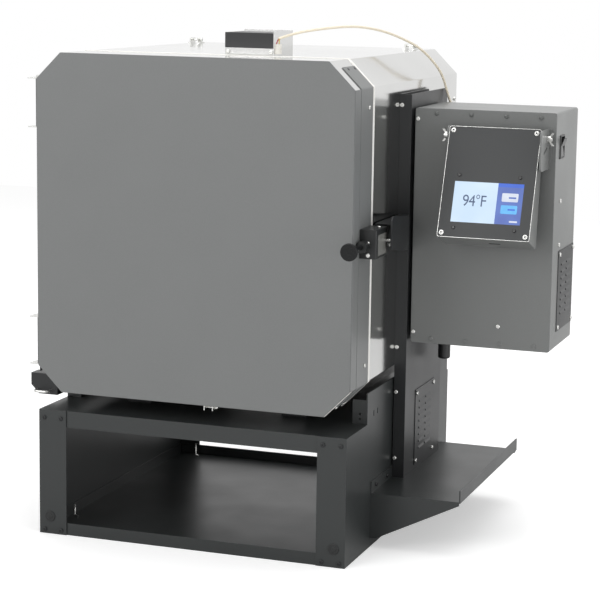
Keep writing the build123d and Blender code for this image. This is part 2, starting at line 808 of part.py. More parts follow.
def brick_back():
    """The back bricks, with a hole for each element bushing."""
    slab = octagon_prism(JACKET_SHEET, (BACK_BRICK_FRONT, BACK_BRICK_REAR))
    for x, z in tail_places():
        front = (x, BACK_BRICK_FRONT - 1, z)
        rear = (x, BACK_BRICK_REAR + 1, z)
        slab = slab - rod(front, rear, BUSHING_RADIUS + TAIL_CLEARANCE)
    return slab


def heating_elements():
    """Two hairpins in each side wall, with thin tails through the back bricks."""
    hairpins = []
    for side in (-1, 1):
        x = side * ELEMENT_X
        run_end = BACK_BRICK_FRONT - ELEMENT_CLEARANCE
        tail_end = BACK_BRICK_REAR + BUSHING_PROUD + TAIL_PROUD
        for low, high in element_pairs():
            hairpin = Part() + rod((x, ELEMENT_FRONT, low), (x, ELEMENT_FRONT, high), ELEMENT_RADIUS)
            for height in (low, high):
                hairpin = hairpin + rod((x, ELEMENT_FRONT, height), (x, run_end, height), ELEMENT_RADIUS)
                hairpin = hairpin + Pos(x, ELEMENT_FRONT, height) * Sphere(ELEMENT_RADIUS)
                hairpin = hairpin + rod((x, run_end - 1, height), (x, tail_end, height), TAIL_RADIUS)
            hairpins.append(hairpin)
    return group(hairpins)


def element_bushings():
    """The ceramic tubes round the element tails in the back bricks."""
    tubes = []
    for x, z in tail_places():
        front = BACK_BRICK_FRONT
        rear = BACK_BRICK_REAR + BUSHING_PROUD
        tube = Part() + rod((x, front, z), (x, rear, z), BUSHING_RADIUS)
        tubes.append(tube - rod((x, front - 1, z), (x, rear + 1, z), TAIL_RADIUS + TAIL_CLEARANCE))
    return group(tubes)


def element_terminals():
    """The brass barrels on the element tails, behind the back bricks."""
    barrels = []
    for x, z in tail_places():
        front = BACK_BRICK_REAR + BUSHING_PROUD
        rear = front + TERMINAL_LENGTH
        barrel = Part() + rod((x, front, z), (x, rear, z), TERMINAL_RADIUS)
        barrels.append(barrel - rod((x, front - 1, z), (x, rear + 1, z), TAIL_RADIUS + TAIL_CLEARANCE))
    return group(barrels)


def back_cover_screw_places():
    """The places of the screws round the back cover."""
    side = OVEN_SIDE - JACKET_SHEET - COVER_SCREW_INSET
    low = BODY_BOTTOM + JACKET_SHEET + COVER_SCREW_INSET
    high = BODY_TOP - JACKET_SHEET - COVER_SCREW_INSET
    reach = side - CORNER_CUT
    ends = [(x, z) for x in (-reach, reach) for z in (low, high)]
    sides = [(x, z) for x in (-side, side) for z in (low + CORNER_CUT, high - CORNER_CUT)]
    return [(x, BODY_REAR, z) for x, z in ends + sides]


def back_cover():
    """The slotted sheet that closes the terminal space at the back."""
    cover = octagon_prism(JACKET_SHEET, (BODY_REAR - BACK_COVER_SHEET, BODY_REAR))
    through = (BODY_REAR - BACK_COVER_SHEET - 1, BODY_REAR + 1)
    lowest = BODY_CENTRE - COVER_SLOT_PITCH * (COVER_SLOT_ROWS - 1) / 2
    for side in (-1, 1):
        middle = side * COVER_SLOT_SPREAD / 2
        slot_x = (middle - COVER_SLOT_WIDTH / 2, middle + COVER_SLOT_WIDTH / 2)
        for row in range(COVER_SLOT_ROWS):
            z = lowest + row * COVER_SLOT_PITCH
            cover = cover - block(slot_x, through, (z - COVER_SLOT_HEIGHT / 2, z + COVER_SLOT_HEIGHT / 2))
    return drilled(cover, PANEL_SCREW, back_cover_screw_places(), (0, 1, 0), BACK_COVER_SHEET + 1)


def tension_clamp(plane):
    """Two lugs of a jacket band and the screw that pulls them together, on the given plane."""
    bore = CLAMP_SCREW.shank_radius + SCREW_CLEARANCE
    screw_height = CLAMP_RISE - CLAMP_SCREW.head_radius
    lugs = []
    for side in (-1, 1):
        near = side * CLAMP_GAP / 2
        foot = block(
            sorted((near, near + side * CLAMP_FOOT)), (-CLAMP_WIDTH / 2, CLAMP_WIDTH / 2), (0, CLAMP_SHEET)
        )
        upright = block(
            sorted((near, near + side * CLAMP_SHEET)), (-CLAMP_WIDTH / 2, CLAMP_WIDTH / 2), (0, CLAMP_RISE)
        )
        lug = foot + upright - rod((-CLAMP_GAP, 0, screw_height), (CLAMP_GAP, 0, screw_height), bore)
        lugs.append(lug)
    head_x = CLAMP_GAP / 2 + CLAMP_SHEET
    grip = CLAMP_GAP + 2 * CLAMP_SHEET + 2
    screw = screws(CLAMP_SCREW, [(head_x, 0, screw_height)], (1, 0, 0), grip)
    return [Location(plane) * piece for piece in lugs + screw]


def jacket_clamps():
    """The tension clamps of the body jacket, near its rear on the roof."""
    y = BODY_REAR - BODY_CLAMP_INSET
    pieces = []
    for x in BODY_CLAMP_PLACES:
        pieces = pieces + tension_clamp(Plane(origin=(x, y, BODY_TOP), x_dir=(1, 0, 0), z_dir=(0, 0, 1)))
    return group(pieces)


# Roof junction box and thermocouple


def junction_screw_places():
    """The places of the two screws on the junction bracket's front lip."""
    z = BODY_TOP + JUNCTION_LIP / 2
    insets = (JUNCTION_LEFT + JUNCTION_SCREW_INSET, JUNCTION_RIGHT - JUNCTION_SCREW_INSET)
    return [(x, JUNCTION_FRONT, z) for x in insets]


def junction_bracket():
    """The folded bracket on the roof: a base, a front lip, a back wall and a right end wall."""
    sheet = JUNCTION_SHEET
    across = (JUNCTION_LEFT, JUNCTION_RIGHT)
    along = (JUNCTION_FRONT, JUNCTION_REAR)
    top = BODY_TOP + JUNCTION_HEIGHT
    bracket = block(across, along, (BODY_TOP, BODY_TOP + sheet))
    bracket = bracket + block(across, (along[0], along[0] + sheet), (BODY_TOP, BODY_TOP + JUNCTION_LIP))
    bracket = bracket + block(across, (along[1] - sheet, along[1]), (BODY_TOP, top))
    bracket = bracket + block((across[1] - sheet, across[1]), along, (BODY_TOP, top))
    bracket = drilled(bracket, PANEL_SCREW, junction_screw_places(), (0, -1, 0), sheet + 1)
    return bracket - probe_hole()


def junction_cover():
    """The painted cover that closes the bracket's front, top and left end."""
    sheet = JUNCTION_COVER_SHEET
    across = (JUNCTION_LEFT, JUNCTION_RIGHT - JUNCTION_SHEET)
    along = (JUNCTION_FRONT, JUNCTION_REAR - JUNCTION_SHEET)
    bottom = BODY_TOP + JUNCTION_LIP
    top = BODY_TOP + JUNCTION_HEIGHT - JUNCTION_COVER_DROP
    cover = block(across, along, (bottom, top))
    hollow_x = (across[0] + sheet, across[1] + 1)
    hollow_y = (along[0] + sheet, along[1] + 1)
    return cover - block(hollow_x, hollow_y, (bottom - 1, top - sheet))


def thermocouple_probe():
    """The ceramic probe tube through the roof, with its round head on the bracket's base."""
    x, y = probe_place()
    seat = BODY_TOP + JUNCTION_SHEET
    tube = Part() + rod((x, y, CHAMBER_TOP - PROBE_REACH), (x, y, seat + 1), PROBE_RADIUS)
    return tube + rod((x, y, seat), (x, y, seat + PROBE_HEAD), PROBE_HEAD_RADIUS)


def terminal_block_limits():
    """The limits of the terminal block on the bracket's end wall."""
    x = (JUNCTION_RIGHT, JUNCTION_RIGHT + TERMINAL_BLOCK_WIDTH)
    front = JUNCTION_FRONT + TERMINAL_BLOCK_FRONT
    bottom = BODY_TOP + TERMINAL_BLOCK_RISE
    return x, (front, front + TERMINAL_BLOCK_DEPTH), (bottom, bottom + TERMINAL_BLOCK_HEIGHT)


def terminal_block():
    """The ceramic terminal block on the bracket's end wall, with a groove between its two poles."""
    x, y, z = terminal_block_limits()
    body = block(x, y, z)
    middle = (z[0] + z[1]) / 2
    groove_x = (x[1] - TERMINAL_GROOVE, x[1] + 1)
    groove_z = (middle - TERMINAL_GROOVE / 2, middle + TERMINAL_GROOVE / 2)
    return body - block(groove_x, (y[0] - 1, y[1] + 1), groove_z)


def lead_wires():
    """The two wire ends between the terminal block and the start of the lead."""
    x, y, z = terminal_block_limits()
    start = Vector(*LEAD_ROUTE[0])
    heading = (Vector(*LEAD_ROUTE[1]) - start).normalized()
    sideways = Vector(heading.Y, -heading.X, 0).normalized() * WIRE_RADIUS * WIRE_SPREAD
    meeting = start + heading * WIRE_OVERLAP
    middle_x = (x[0] + x[1]) / 2
    wires = []
    for side in (-1, 1):
        foot = (middle_x + 2 * WIRE_SPREAD * WIRE_RADIUS * side, y[0] + 2 * WIRE_RADIUS, z[1] + WIRE_SEAT)
        top = meeting + sideways * side
        wires.append(rod(foot, (top.X, top.Y, top.Z), WIRE_RADIUS))
    return wires


def lead_radii():
    """The radius of the lead's bend at each point of its route between the two ends."""
    points = [Vector(*place) for place in LEAD_ROUTE]
    radii = []
    for before, here, after in zip(points, points[1:], points[2:]):
        half_turn = (here - before).get_angle(after - here) / 2
        shorter = min((here - before).length, (after - here).length)
        radii.append(RUN_SHARE * shorter * cos(radians(half_turn)) / sin(radians(half_turn)))
    return radii


def thermocouple_lead():
    """The lead from the terminal block over the roof and down to the gland behind the control box."""
    radii = lead_radii()
    path = FilletPolyline(*LEAD_ROUTE, radius=radii)
    start = Plane(origin=path @ 0, z_dir=path % 0)
    lead = sweep(start * Circle(LEAD_DIAMETER / 2), path=path)
    print("lead radii", [round(radius, 1) for radius in radii])
    section = pi * (LEAD_DIAMETER / 2) ** 2
    share = lead.volume / section / path.length
    print("lead length", round(path.length, 1), "volume share", round(share, 4))
    for wire in lead_wires():
        lead = lead + wire
    return lead


# Door


def door_plate():
    """The painted front plate."""
    plate = octagon_prism(0, (DOOR_FRONT, DOOR_PLATE_REAR))
    front_edges = plate.faces().sort_by(Axis.Y)[0].edges()
    return chamfer(front_edges, DOOR_PLATE_CHAMFER)


def door_backing():
    """The insulating board behind the front plate."""
    return octagon_prism(JACKET_SHEET, (DOOR_PLATE_REAR, DOOR_PLATE_REAR + BACKING_THICKNESS))


def door_brick():
    """The door's brick block."""
    front = DOOR_PLATE_REAR + BACKING_THICKNESS
    return octagon_prism(JACKET_SHEET, (front, front + BRICK_THICKNESS))


def door_seal():
    """The soft seal on the brick's rear face, all round the chamber's mouth."""
    front = DOOR_PLATE_REAR + BACKING_THICKNESS + BRICK_THICKNESS
    return octagon_ring(JACKET_SHEET, JACKET_SHEET + SEAL_WIDTH, (front, front + SEAL_THICKNESS))


def door_jacket():
    """The polished band round the door."""
    return octagon_ring(0, JACKET_SHEET, (DOOR_PLATE_REAR, DOOR_PLATE_REAR + DOOR_JACKET_DEPTH))


def side_cover_screw_places():
    """The places of the screws on the door's side cover."""
    y = DOOR_FRONT + SIDE_COVER_OFFSET + SIDE_COVER_SCREW_OFFSET
    low = BODY_BOTTOM + CORNER_CUT + SIDE_COVER_SCREW_INSET
    high = BODY_TOP - CORNER_CUT - SIDE_COVER_SCREW_INSET
    return [(COVER_SIDE, y, z) for z in (low, high)]


def door_side_cover():
    """The painted cover over the latch side and most of the two cut corners beside it."""
    front = DOOR_FRONT + SIDE_COVER_OFFSET
    along = (front, front + SIDE_COVER_WIDTH)
    ring = octagon_ring(-SIDE_COVER_SHEET, 0, along)
    reach = OVEN_SIDE - SIDE_COVER_REACH
    cover = ring & block((reach, OVEN_WIDTH), (along[0] - 1, along[1] + 1), (0, BODY_TOP + OVEN_HEIGHT))
    return drilled(cover, PANEL_SCREW, side_cover_screw_places(), (1, 0, 0), SIDE_COVER_SHEET + 1)


def door_screws():
    """The screws of the side cover and the one on the latch housing's front."""
    cover = screws(PANEL_SCREW, side_cover_screw_places(), (1, 0, 0), SIDE_COVER_SHEET)
    latch = screws(PANEL_SCREW, latch_screw_places(), (0, -1, 0), LATCH_SCREW_GRIP)
    return group(cover + latch)


def door_clamp():
    """The tension clamp of the door jacket, under the door."""
    y = DOOR_FRONT + DOOR_CLAMP_OFFSET
    under = Plane(origin=(DOOR_CLAMP_X, y, BODY_BOTTOM), x_dir=(1, 0, 0), z_dir=(0, 0, -1))
    return group(tension_clamp(under))


# Hinges


def hinge_centres():
    """The height of the middle of each hinge."""
    return (HINGE_MIDDLE - HINGE_SPACING / 2, HINGE_MIDDLE + HINGE_SPACING / 2)


def pin_bore(centre):
    """A bore round the hinge pin's axis, longer than the hinge."""
    low = centre - HINGE_HEIGHT
    high = centre + HINGE_HEIGHT
    return rod((PIN_X, PIN_Y, low), (PIN_X, PIN_Y, high), HINGE_PIN_RADIUS + HINGE_CLEARANCE)


def hinge_screw_places(centre):
    """The places of the screws of one hinge bracket on the body's left side."""
    x = -OVEN_SIDE - HINGE_SHEET
    y = BODY_FRONT + HINGE_PLATE_DEPTH / 2
    half = HINGE_SCREW_SPREAD / 2
    return [(x, y, centre - half), (x, y, centre + half)]


def hinge_bracket(centre):
    """A C-shaped bracket: a plate on the body's side and two flanges that hold the pin."""
    side = -OVEN_SIDE
    front = PIN_Y - HINGE_NOSE
    left = PIN_X - HINGE_REACH
    right = side - HINGE_SIDE_GAP
    plate_front = BODY_FRONT + 2 * EAR_SETBACK
    plate_rear = plate_front + HINGE_PLATE_DEPTH
    outline = [
        (right, front), (right, plate_front), (side, plate_front), (side, plate_rear),
        (side - HINGE_SHEET, plate_rear), (left, PIN_Y + HINGE_NOSE), (left, front),
    ]
    low = centre - HINGE_HEIGHT / 2
    high = centre + HINGE_HEIGHT / 2
    plate = block((side - HINGE_SHEET, side), (plate_front, plate_rear), (low, high))
    lower = prism_z(outline, (low, low + HINGE_SHEET))
    upper = prism_z(outline, (high - HINGE_SHEET, high))
    bracket = plate + lower + upper - pin_bore(centre)
    return drilled(bracket, PANEL_SCREW, hinge_screw_places(centre), (-1, 0, 0), HINGE_SHEET + 1)


def hinge_brackets():
    """The two brackets on the body."""
    return group([hinge_bracket(centre) for centre in hinge_centres()])


def hinge_leaf(centre):
    """A plate on the door's side with an arm to the knuckle on the pin."""
    half = HINGE_HEIGHT / 2 - HINGE_SHEET - KNUCKLE_GAP
    height = (centre - half, centre + half)
    side = -OVEN_SIDE
    plate_front = DOOR_FRONT + LEAF_PLATE_OFFSET
    plate = block((side - HINGE_SHEET, side), (plate_front, plate_front + LEAF_PLATE_DEPTH), height)
    foot = Vector(side - HINGE_SHEET, DOOR_FRONT + LEAF_ARM_OFFSET, 0)
    pin = Vector(PIN_X, PIN_Y, 0)
    along = (pin - foot).normalized()
    across = Vector(-along.Y, along.X, 0) * LEAF_ARM_THICKNESS / 2
    corners = [foot - across, pin - across, pin + across, foot + across]
    arm = prism_z([(corner.X, corner.Y) for corner in corners], height)
    knuckle = rod((PIN_X, PIN_Y, height[0]), (PIN_X, PIN_Y, height[1]), KNUCKLE_RADIUS)
    return plate + arm + knuckle - pin_bore(centre)


def hinge_leaves():
    """The two leaves on the door."""
    return group([hinge_leaf(centre) for centre in hinge_centres()])


def hinge_pins():
    """The hinge pins, each with a round head that lies on the upper flange."""
    pins = []
    for centre in hinge_centres():
        low = centre - HINGE_HEIGHT / 2
        high = centre + HINGE_HEIGHT / 2
        shaft = rod((PIN_X, PIN_Y, low), (PIN_X, PIN_Y, high), HINGE_PIN_RADIUS)
        head = rod((PIN_X, PIN_Y, high), (PIN_X, PIN_Y, high + HINGE_PIN_HEAD), HINGE_PIN_HEAD_RADIUS)
        pin = Part() + shaft + head
        rim = pin.edges().filter_by(GeomType.CIRCLE).sort_by(Axis.Z)[-1]
        pins.append(fillet(rim, HINGE_PIN_HEAD / 3))
    return group(pins)


# Lower bracket


def lower_bracket_screw_places():
    """The places of the screws that hold the lower bracket on the stand's left ear."""
    x = -STAND_SIDE - LOWER_BRACKET_SHEET
    y = EAR_FRONT + LOWER_BRACKET_LAP / 2
    low = STAND_HEIGHT + LOWER_BRACKET_BOTTOM + LOWER_BRACKET_SCREW_INSET
    high = STAND_HEIGHT + LOWER_BRACKET_BOTTOM + LOWER_BRACKET_HEIGHT - LOWER_BRACKET_SCREW_INSET
    return [(x, y, low), (x, y, high)]


def lower_bracket():
    """A folded bracket on the stand's left ear, which reaches out beside the door's corner."""
    inner = -STAND_SIDE
    outer = inner - LOWER_BRACKET_OUT
    bottom = STAND_HEIGHT + LOWER_BRACKET_BOTTOM
    top = bottom + LOWER_BRACKET_HEIGHT
    front = DOOR_FRONT + LOWER_BRACKET_OFFSET
    outline = [
        (inner, bottom), (inner, top), (outer, top), (outer, bottom + LOWER_BRACKET_CUT),
        (outer + LOWER_BRACKET_CUT, bottom),
    ]
    plate = prism_y(outline, (front, front + LOWER_BRACKET_SHEET))
    wall = block(
        (inner - LOWER_BRACKET_SHEET, inner), (front, EAR_FRONT + LOWER_BRACKET_LAP), (bottom, top)
    )
    fold = block((outer, inner), (front, front + LOWER_BRACKET_TOP_DEPTH), (top - LOWER_BRACKET_SHEET, top))
    bracket = plate + wall + fold
    return drilled(bracket, PANEL_SCREW, lower_bracket_screw_places(), (-1, 0, 0), LOWER_BRACKET_SHEET + 1)


def lower_stirrup():
    """The plated wire loop that stands out of the lower bracket's plate."""
    right = -STAND_SIDE - STIRRUP_INSET
    left = right - STIRRUP_LENGTH
    face = DOOR_FRONT + LOWER_BRACKET_OFFSET
    z = STAND_HEIGHT + LOWER_BRACKET_BOTTOM + STIRRUP_RISE
    front = face - STIRRUP_DEPTH
    route = [(left, face, z), (left, front, z), (right, front, z), (right, face, z)]
    path = FilletPolyline(*route, radius=3 * STIRRUP_WIRE)
    return sweep(Plane(origin=path @ 0, z_dir=path % 0) * Circle(STIRRUP_WIRE), path=path)


# Latch


def latch_housing():
    """The latch's case on the door's side cover, with the collar of the pull knob."""
    case = block(
        (COVER_SIDE, LATCH_RIGHT),
        (LATCH_FRONT, LATCH_REAR),
        (LATCH_BOTTOM, LATCH_BOTTOM + LATCH_HOUSING_HEIGHT),
    )
    right_edges = case.faces().sort_by(Axis.X)[-1].edges()
    case = fillet(right_edges, LATCH_HOUSING_ROUND)
    x = COVER_SIDE + KNOB_INSET
    collar_front = LATCH_FRONT - KNOB_COLLAR_LENGTH
    collar = rod((x, collar_front, KNOB_HEIGHT), (x, LATCH_FRONT + 1, KNOB_HEIGHT), KNOB_COLLAR_RADIUS)
    keep = block((COVER_SIDE, OVEN_WIDTH), (collar_front - 1, LATCH_REAR), (0, BODY_TOP))
    stem_bore = rod(
        (x, collar_front - 1, KNOB_HEIGHT),
        (x, LATCH_FRONT + KNOB_STEM_DEPTH + 1, KNOB_HEIGHT),
        KNOB_STEM_RADIUS + SLIDE_CLEARANCE,
    )
    bolt_end = LATCH_RIGHT - BOLT_BURIED - LATCH_TRAVEL - SLIDE_CLEARANCE
    bolt_bore = rod(
        (bolt_end, BOLT_Y, BOLT_HEIGHT),
        (LATCH_RIGHT + 1, BOLT_Y, BOLT_HEIGHT),
        BOLT_RADIUS + SLIDE_CLEARANCE,
    )
    housing = case + (keep & collar) - stem_bore - bolt_bore
    return drilled(housing, PANEL_SCREW, latch_screw_places(), (0, -1, 0), LATCH_SCREW_GRIP)


def latch_screw_places():
    """The place of the screw on the latch housing's front."""
    x = LATCH_RIGHT - LATCH_SCREW_INSET
    return [(x, LATCH_FRONT, LATCH_BOTTOM + LATCH_SCREW_RISE)]


def latch_knob():
    """The pull knob: a round disc that narrows to its stem."""
    front = LATCH_FRONT - KNOB_PROUD
    rear = LATCH_FRONT + KNOB_STEM_DEPTH
    profile = make_face(Polyline(
        (0, front), (KNOB_RADIUS, front), (KNOB_RADIUS, front + KNOB_DISC),
        (KNOB_STEM_RADIUS, front + KNOB_DISC + KNOB_FLARE), (KNOB_STEM_RADIUS, rear), (0, rear),
        close=True,
    ))
    knob = revolve(profile, Axis.Y)
    rim = knob.edges().filter_by(GeomType.CIRCLE).sort_by(Axis.Y)[0]
    knob = fillet(rim, KNOB_DISC / 3)
    return Pos(COVER_SIDE + KNOB_INSET, 0, KNOB_HEIGHT) * knob


def latch_bolt():
    """The round bolt that the knob draws back."""
    start = (LATCH_RIGHT - BOLT_BURIED, BOLT_Y, BOLT_HEIGHT)
    bolt = Part() + rod(start, (BOLT_TIP, BOLT_Y, BOLT_HEIGHT), BOLT_RADIUS)
    tip = bolt.edges().filter_by(GeomType.CIRCLE).sort_by(Axis.X)[-1]
    return fillet(tip, BOLT_RADIUS / 4)


def strike_screw_places():
    """The places of the screws that hold the strike bracket on the wiring channel."""
    x = CHANNEL_LEFT + CHANNEL_WIDTH / 2
    middle = STRIKE_BOTTOM + STRIKE_HEIGHT / 2
    rear = CHANNEL_FRONT - STRIKE_SHEET
    return [(x, rear, middle + side * STRIKE_SCREW_SPREAD / 2) for side in (-1, 1)]


def strike_bracket():
    """The folded arm that comes forward from the wiring channel and bends outward to the latch bolt."""
    top = STRIKE_BOTTOM + STRIKE_HEIGHT
    right = STRIKE_LEFT + STRIKE_SHEET
    front = BOLT_Y - STRIKE_NOSE_LAP
    flange_front = BODY_FRONT + STRIKE_TOP_SETBACK
    bend = BODY_FRONT + STRIKE_BEND
    nose_high = BOLT_HEIGHT + STRIKE_NOSE_ABOVE
    side_view = prism_x(
        [
            (CHANNEL_FRONT, STRIKE_BOTTOM), (CHANNEL_FRONT, top), (front + STRIKE_NOSE_CUT, nose_high),
            (front, nose_high - STRIKE_NOSE_CUT), (front, BOLT_HEIGHT - STRIKE_NOSE_BELOW),
        ],
        (OVEN_SIDE, OVEN_WIDTH),
    )
    wall = [
        (STRIKE_LEFT, front), (right, front), (right, bend), (CHANNEL_RIGHT, CHANNEL_FRONT),
        (CHANNEL_RIGHT - STRIKE_SHEET, CHANNEL_FRONT), (STRIKE_LEFT, bend),
    ]
    arm = prism_z(wall, (BODY_BOTTOM, BODY_TOP)) & side_view
    inner = OVEN_SIDE + STRIKE_SIDE_GAP
    flange_outline = [
        (inner, flange_front), (right, flange_front), (right, bend), (CHANNEL_RIGHT, CHANNEL_FRONT),
        (inner, CHANNEL_FRONT),
    ]
    flange = prism_z(flange_outline, (top - STRIKE_SHEET, top))
    foot = block((inner, CHANNEL_RIGHT), (CHANNEL_FRONT - STRIKE_SHEET, CHANNEL_FRONT), (STRIKE_BOTTOM, top))
    return drilled(arm + flange + foot, PANEL_SCREW, strike_screw_places(), (0, -1, 0), STRIKE_SHEET + 1)


# Wiring channel


def channel_screw_places():
    """The places of the screws on the channel's front."""
    x = CHANNEL_LEFT + CHANNEL_SCREW_INSET
    low = [SHELF_HEIGHT + rise for rise in CHANNEL_SCREW_RISES]
    return [(x, CHANNEL_FRONT, z) for z in low + [CHANNEL_TOP - CHANNEL_TOP_SCREW_DROP]]


def box_bolt_places():
    """The places of the screws that hold the control box, on its left wall's inner face."""
    x = BOX_LEFT + BOX_SHEET
    depths = (BOX_FRONT + BOX_BOSS_MARGIN, BOX_REAR - BOX_BOSS_MARGIN)
    heights = (BOX_BOTTOM + BOX_BOSS_MARGIN, BOX_TOP - BOX_BOSS_MARGIN)
    return [(x, y, z) for y in depths for z in heights]


BOX_BOLT_GRIP = BOX_SHEET + BOX_BOSS + CHANNEL_SHEET + 2


def wiring_channel():
    """The upright channel beside the body, open at its rear and its top."""
    height = (SHELF_HEIGHT, CHANNEL_TOP)
    along = (CHANNEL_FRONT, CHANNEL_REAR)
    web = block((CHANNEL_LEFT, CHANNEL_RIGHT), (CHANNEL_FRONT, CHANNEL_FRONT + CHANNEL_SHEET), height)
    right = block((CHANNEL_RIGHT - CHANNEL_SHEET, CHANNEL_RIGHT), along, height)
    cut = CHANNEL_CORNER_CUT
    outline = [
        (along[0], height[0]), (along[1], height[0]), (along[1], height[1] - cut),
        (along[1] - cut, height[1]), (along[0], height[1]),
    ]
    left = prism_x(outline, (CHANNEL_LEFT, CHANNEL_LEFT + CHANNEL_SHEET))
    channel = web + right + left
    channel = drilled(channel, PANEL_SCREW, channel_screw_places(), (0, -1, 0), CHANNEL_SHEET + 2)
    strike_depth = STRIKE_SHEET + CHANNEL_SHEET + 1
    channel = drilled(channel, PANEL_SCREW, strike_screw_places(), (0, -1, 0), strike_depth)
    channel = drilled(channel, PANEL_SCREW, box_bolt_places(), (1, 0, 0), BOX_BOLT_GRIP + 1)
    vent_depth = VENT_SHEET + CHANNEL_SHEET + 1
    return drilled(channel, PANEL_SCREW, channel_vent_screw_places(), (1, 0, 0), vent_depth)


def vent_screw_places(x, y, z):
    """The places of the corner screws of a vent plate on a right-facing wall."""
    inset = VENT_SCREW_INSET
    return [(x, side, end) for side in (y[0] + inset, y[1] - inset) for end in (z[0] + inset, z[1] - inset)]


def vent_plate(x, y, z):
    """A sheet with rows of raised louvres, on a right-facing wall at x."""
    face = x + VENT_SHEET
    plate = block((x, face), y, z)
    middle = (z[0] + z[1]) / 2
    lowest = middle - LOUVRE_PITCH * (LOUVRE_ROWS - 1) / 2
    centre = (y[0] + y[1]) / 2
    spread = LOUVRE_LENGTH + VENT_SCREW_INSET
    for column in range(LOUVRE_COLUMNS):
        mid_y = centre + spread * (column - (LOUVRE_COLUMNS - 1) / 2)
        louvre_y = (mid_y - LOUVRE_LENGTH / 2, mid_y + LOUVRE_LENGTH / 2)
        for row in range(LOUVRE_ROWS):
            bottom = lowest + row * LOUVRE_PITCH
            outline = [(face, bottom), (face + LOUVRE_PROUD, bottom), (face, bottom + LOUVRE_HEIGHT)]
            plate = plate + prism_y(outline, louvre_y)
    places = vent_screw_places(face, y, z)
    return drilled(plate, PANEL_SCREW, places, (1, 0, 0), VENT_SHEET + 1)


def channel_vent_limits():
    """The limits of the vent plate on the channel in y and z."""
    front = CHANNEL_FRONT + CHANNEL_VENT_OFFSET
    width, height = CHANNEL_VENT_SIZE
    bottom = SHELF_HEIGHT + CHANNEL_VENT_RISE
    return (front, front + width), (bottom, bottom + height)


def channel_vent_screw_places():
    """The places of the screws of the channel's vent plate."""
    y, z = channel_vent_limits()
    return vent_screw_places(CHANNEL_RIGHT + VENT_SHEET, y, z)


def vent_plates():
    """The louvred plates on the channel's and the control box's right sides."""
    channel_vent = vent_plate(CHANNEL_RIGHT, *channel_vent_limits())
    box_vent = vent_plate(BOX_RIGHT, *box_vent_limits())
    return group([channel_vent, box_vent])


# Control box


def box_edge_screw_places():
    """The places of the screws at the left edge of the control box's front."""
    x = BOX_LEFT + BOX_EDGE_SCREW_INSET
    return [(x, BOX_FRONT, z) for z in (BOX_BOTTOM + BOX_EDGE_SCREW_MARGIN, BOX_TOP - BOX_EDGE_SCREW_MARGIN)]


def box_front_screw_places():
    """The place of the lone screw low on the control box's front."""
    return [(BOX_LEFT + BOX_FRONT_SCREW[0], BOX_FRONT, BOX_BOTTOM + BOX_FRONT_SCREW[1])]


def box_side_screw_places():
    """The places of the screws on the control box's right side."""
    y = BOX_FRONT + BOX_SIDE_SCREW_OFFSET
    return [(BOX_RIGHT, y, BOX_BOTTOM + rise) for rise in BOX_SIDE_SCREW_RISES]


def box_vent_limits():
    """The limits of the vent plate on the control box in y and z."""
    front = BOX_FRONT + BOX_VENT_OFFSET
    bottom = BOX_BOTTOM + BOX_VENT_RISE
    return (front, front + BOX_VENT_SIZE[0]), (bottom, bottom + BOX_VENT_SIZE[1])


def box_vent_screw_places():
    """The places of the screws of the control box's vent plate."""
    y, z = box_vent_limits()
    return vent_screw_places(BOX_RIGHT + VENT_SHEET, y, z)


def lead_gland_place():
    """The place of the lead's gland on the control box's rear wall, in x and z."""
    return LEAD_ROUTE[-1][0], LEAD_ROUTE[-1][2]


def power_gland_place():
    """The place of the power cord's gland under the control box, in x and y."""
    return BOX_LEFT + POWER_GLAND_PLACE[0], BOX_FRONT + POWER_GLAND_PLACE[1]


def switch_limits():
    """The limits of the power switch on the right side, in y and z."""
    front = BOX_FRONT + SWITCH_OFFSET
    bottom = BOX_BOTTOM + SWITCH_BOTTOM
    return (front, front + SWITCH_WIDTH), (bottom, bottom + SWITCH_HEIGHT)


def switch_section(inset):
    """The power switch's limits in y and z, drawn in by an inset on each side."""
    y, z = switch_limits()
    return (y[0] + inset, y[1] - inset), (z[0] + inset, z[1] - inset)


def control_box_shell():
    """The box's top, bottom, sides and rear wall in one sheet, with bosses towards the channel."""
    along = (BOX_FRONT + BOX_SHEET, BOX_REAR)
    shell = block((BOX_LEFT, BOX_RIGHT), along, (BOX_BOTTOM, BOX_TOP))
    shell = fillet(shell.edges().filter_by(Axis.Y), BOX_CORNER_ROUND)
    hollow = block(
        (BOX_LEFT + BOX_SHEET, BOX_RIGHT - BOX_SHEET),
        (along[0] - 1, BOX_REAR - BOX_SHEET),
        (BOX_BOTTOM + BOX_SHEET, BOX_TOP - BOX_SHEET),
    )
    hollow = fillet(hollow.edges().filter_by(Axis.Y), BOX_CORNER_ROUND - BOX_SHEET)
    shell = shell - hollow
    through = (BOX_RIGHT - BOX_SHEET - 1, BOX_RIGHT + 1)
    opening_y, opening_z = switch_section(SWITCH_LAP)
    shell = shell - block(through, opening_y, opening_z)
    x, z = lead_gland_place()
    thread = GLAND_BARREL_RADIUS + SCREW_CLEARANCE
    shell = shell - rod((x, BOX_REAR - BOX_SHEET - 1, z), (x, BOX_REAR + 1, z), thread)
    x, y = power_gland_place()
    thread = POWER_GLAND_DOME_RADIUS + SCREW_CLEARANCE
    shell = shell - rod((x, y, BOX_BOTTOM - 1), (x, y, BOX_BOTTOM + BOX_SHEET + 1), thread)
    for x, y, z in box_bolt_places():
        shell = shell + rod((CHANNEL_RIGHT, y, z), (BOX_LEFT + BOX_SHEET / 2, y, z), BOX_BOSS_RADIUS)
    shell = drilled(shell, PANEL_SCREW, box_side_screw_places(), (1, 0, 0), BOX_SHEET + 1)
    shell = drilled(shell, PANEL_SCREW, box_vent_screw_places(), (1, 0, 0), VENT_SHEET + BOX_SHEET + 1)
    return drilled(shell, PANEL_SCREW, box_bolt_places(), (1, 0, 0), BOX_BOLT_GRIP + 1)


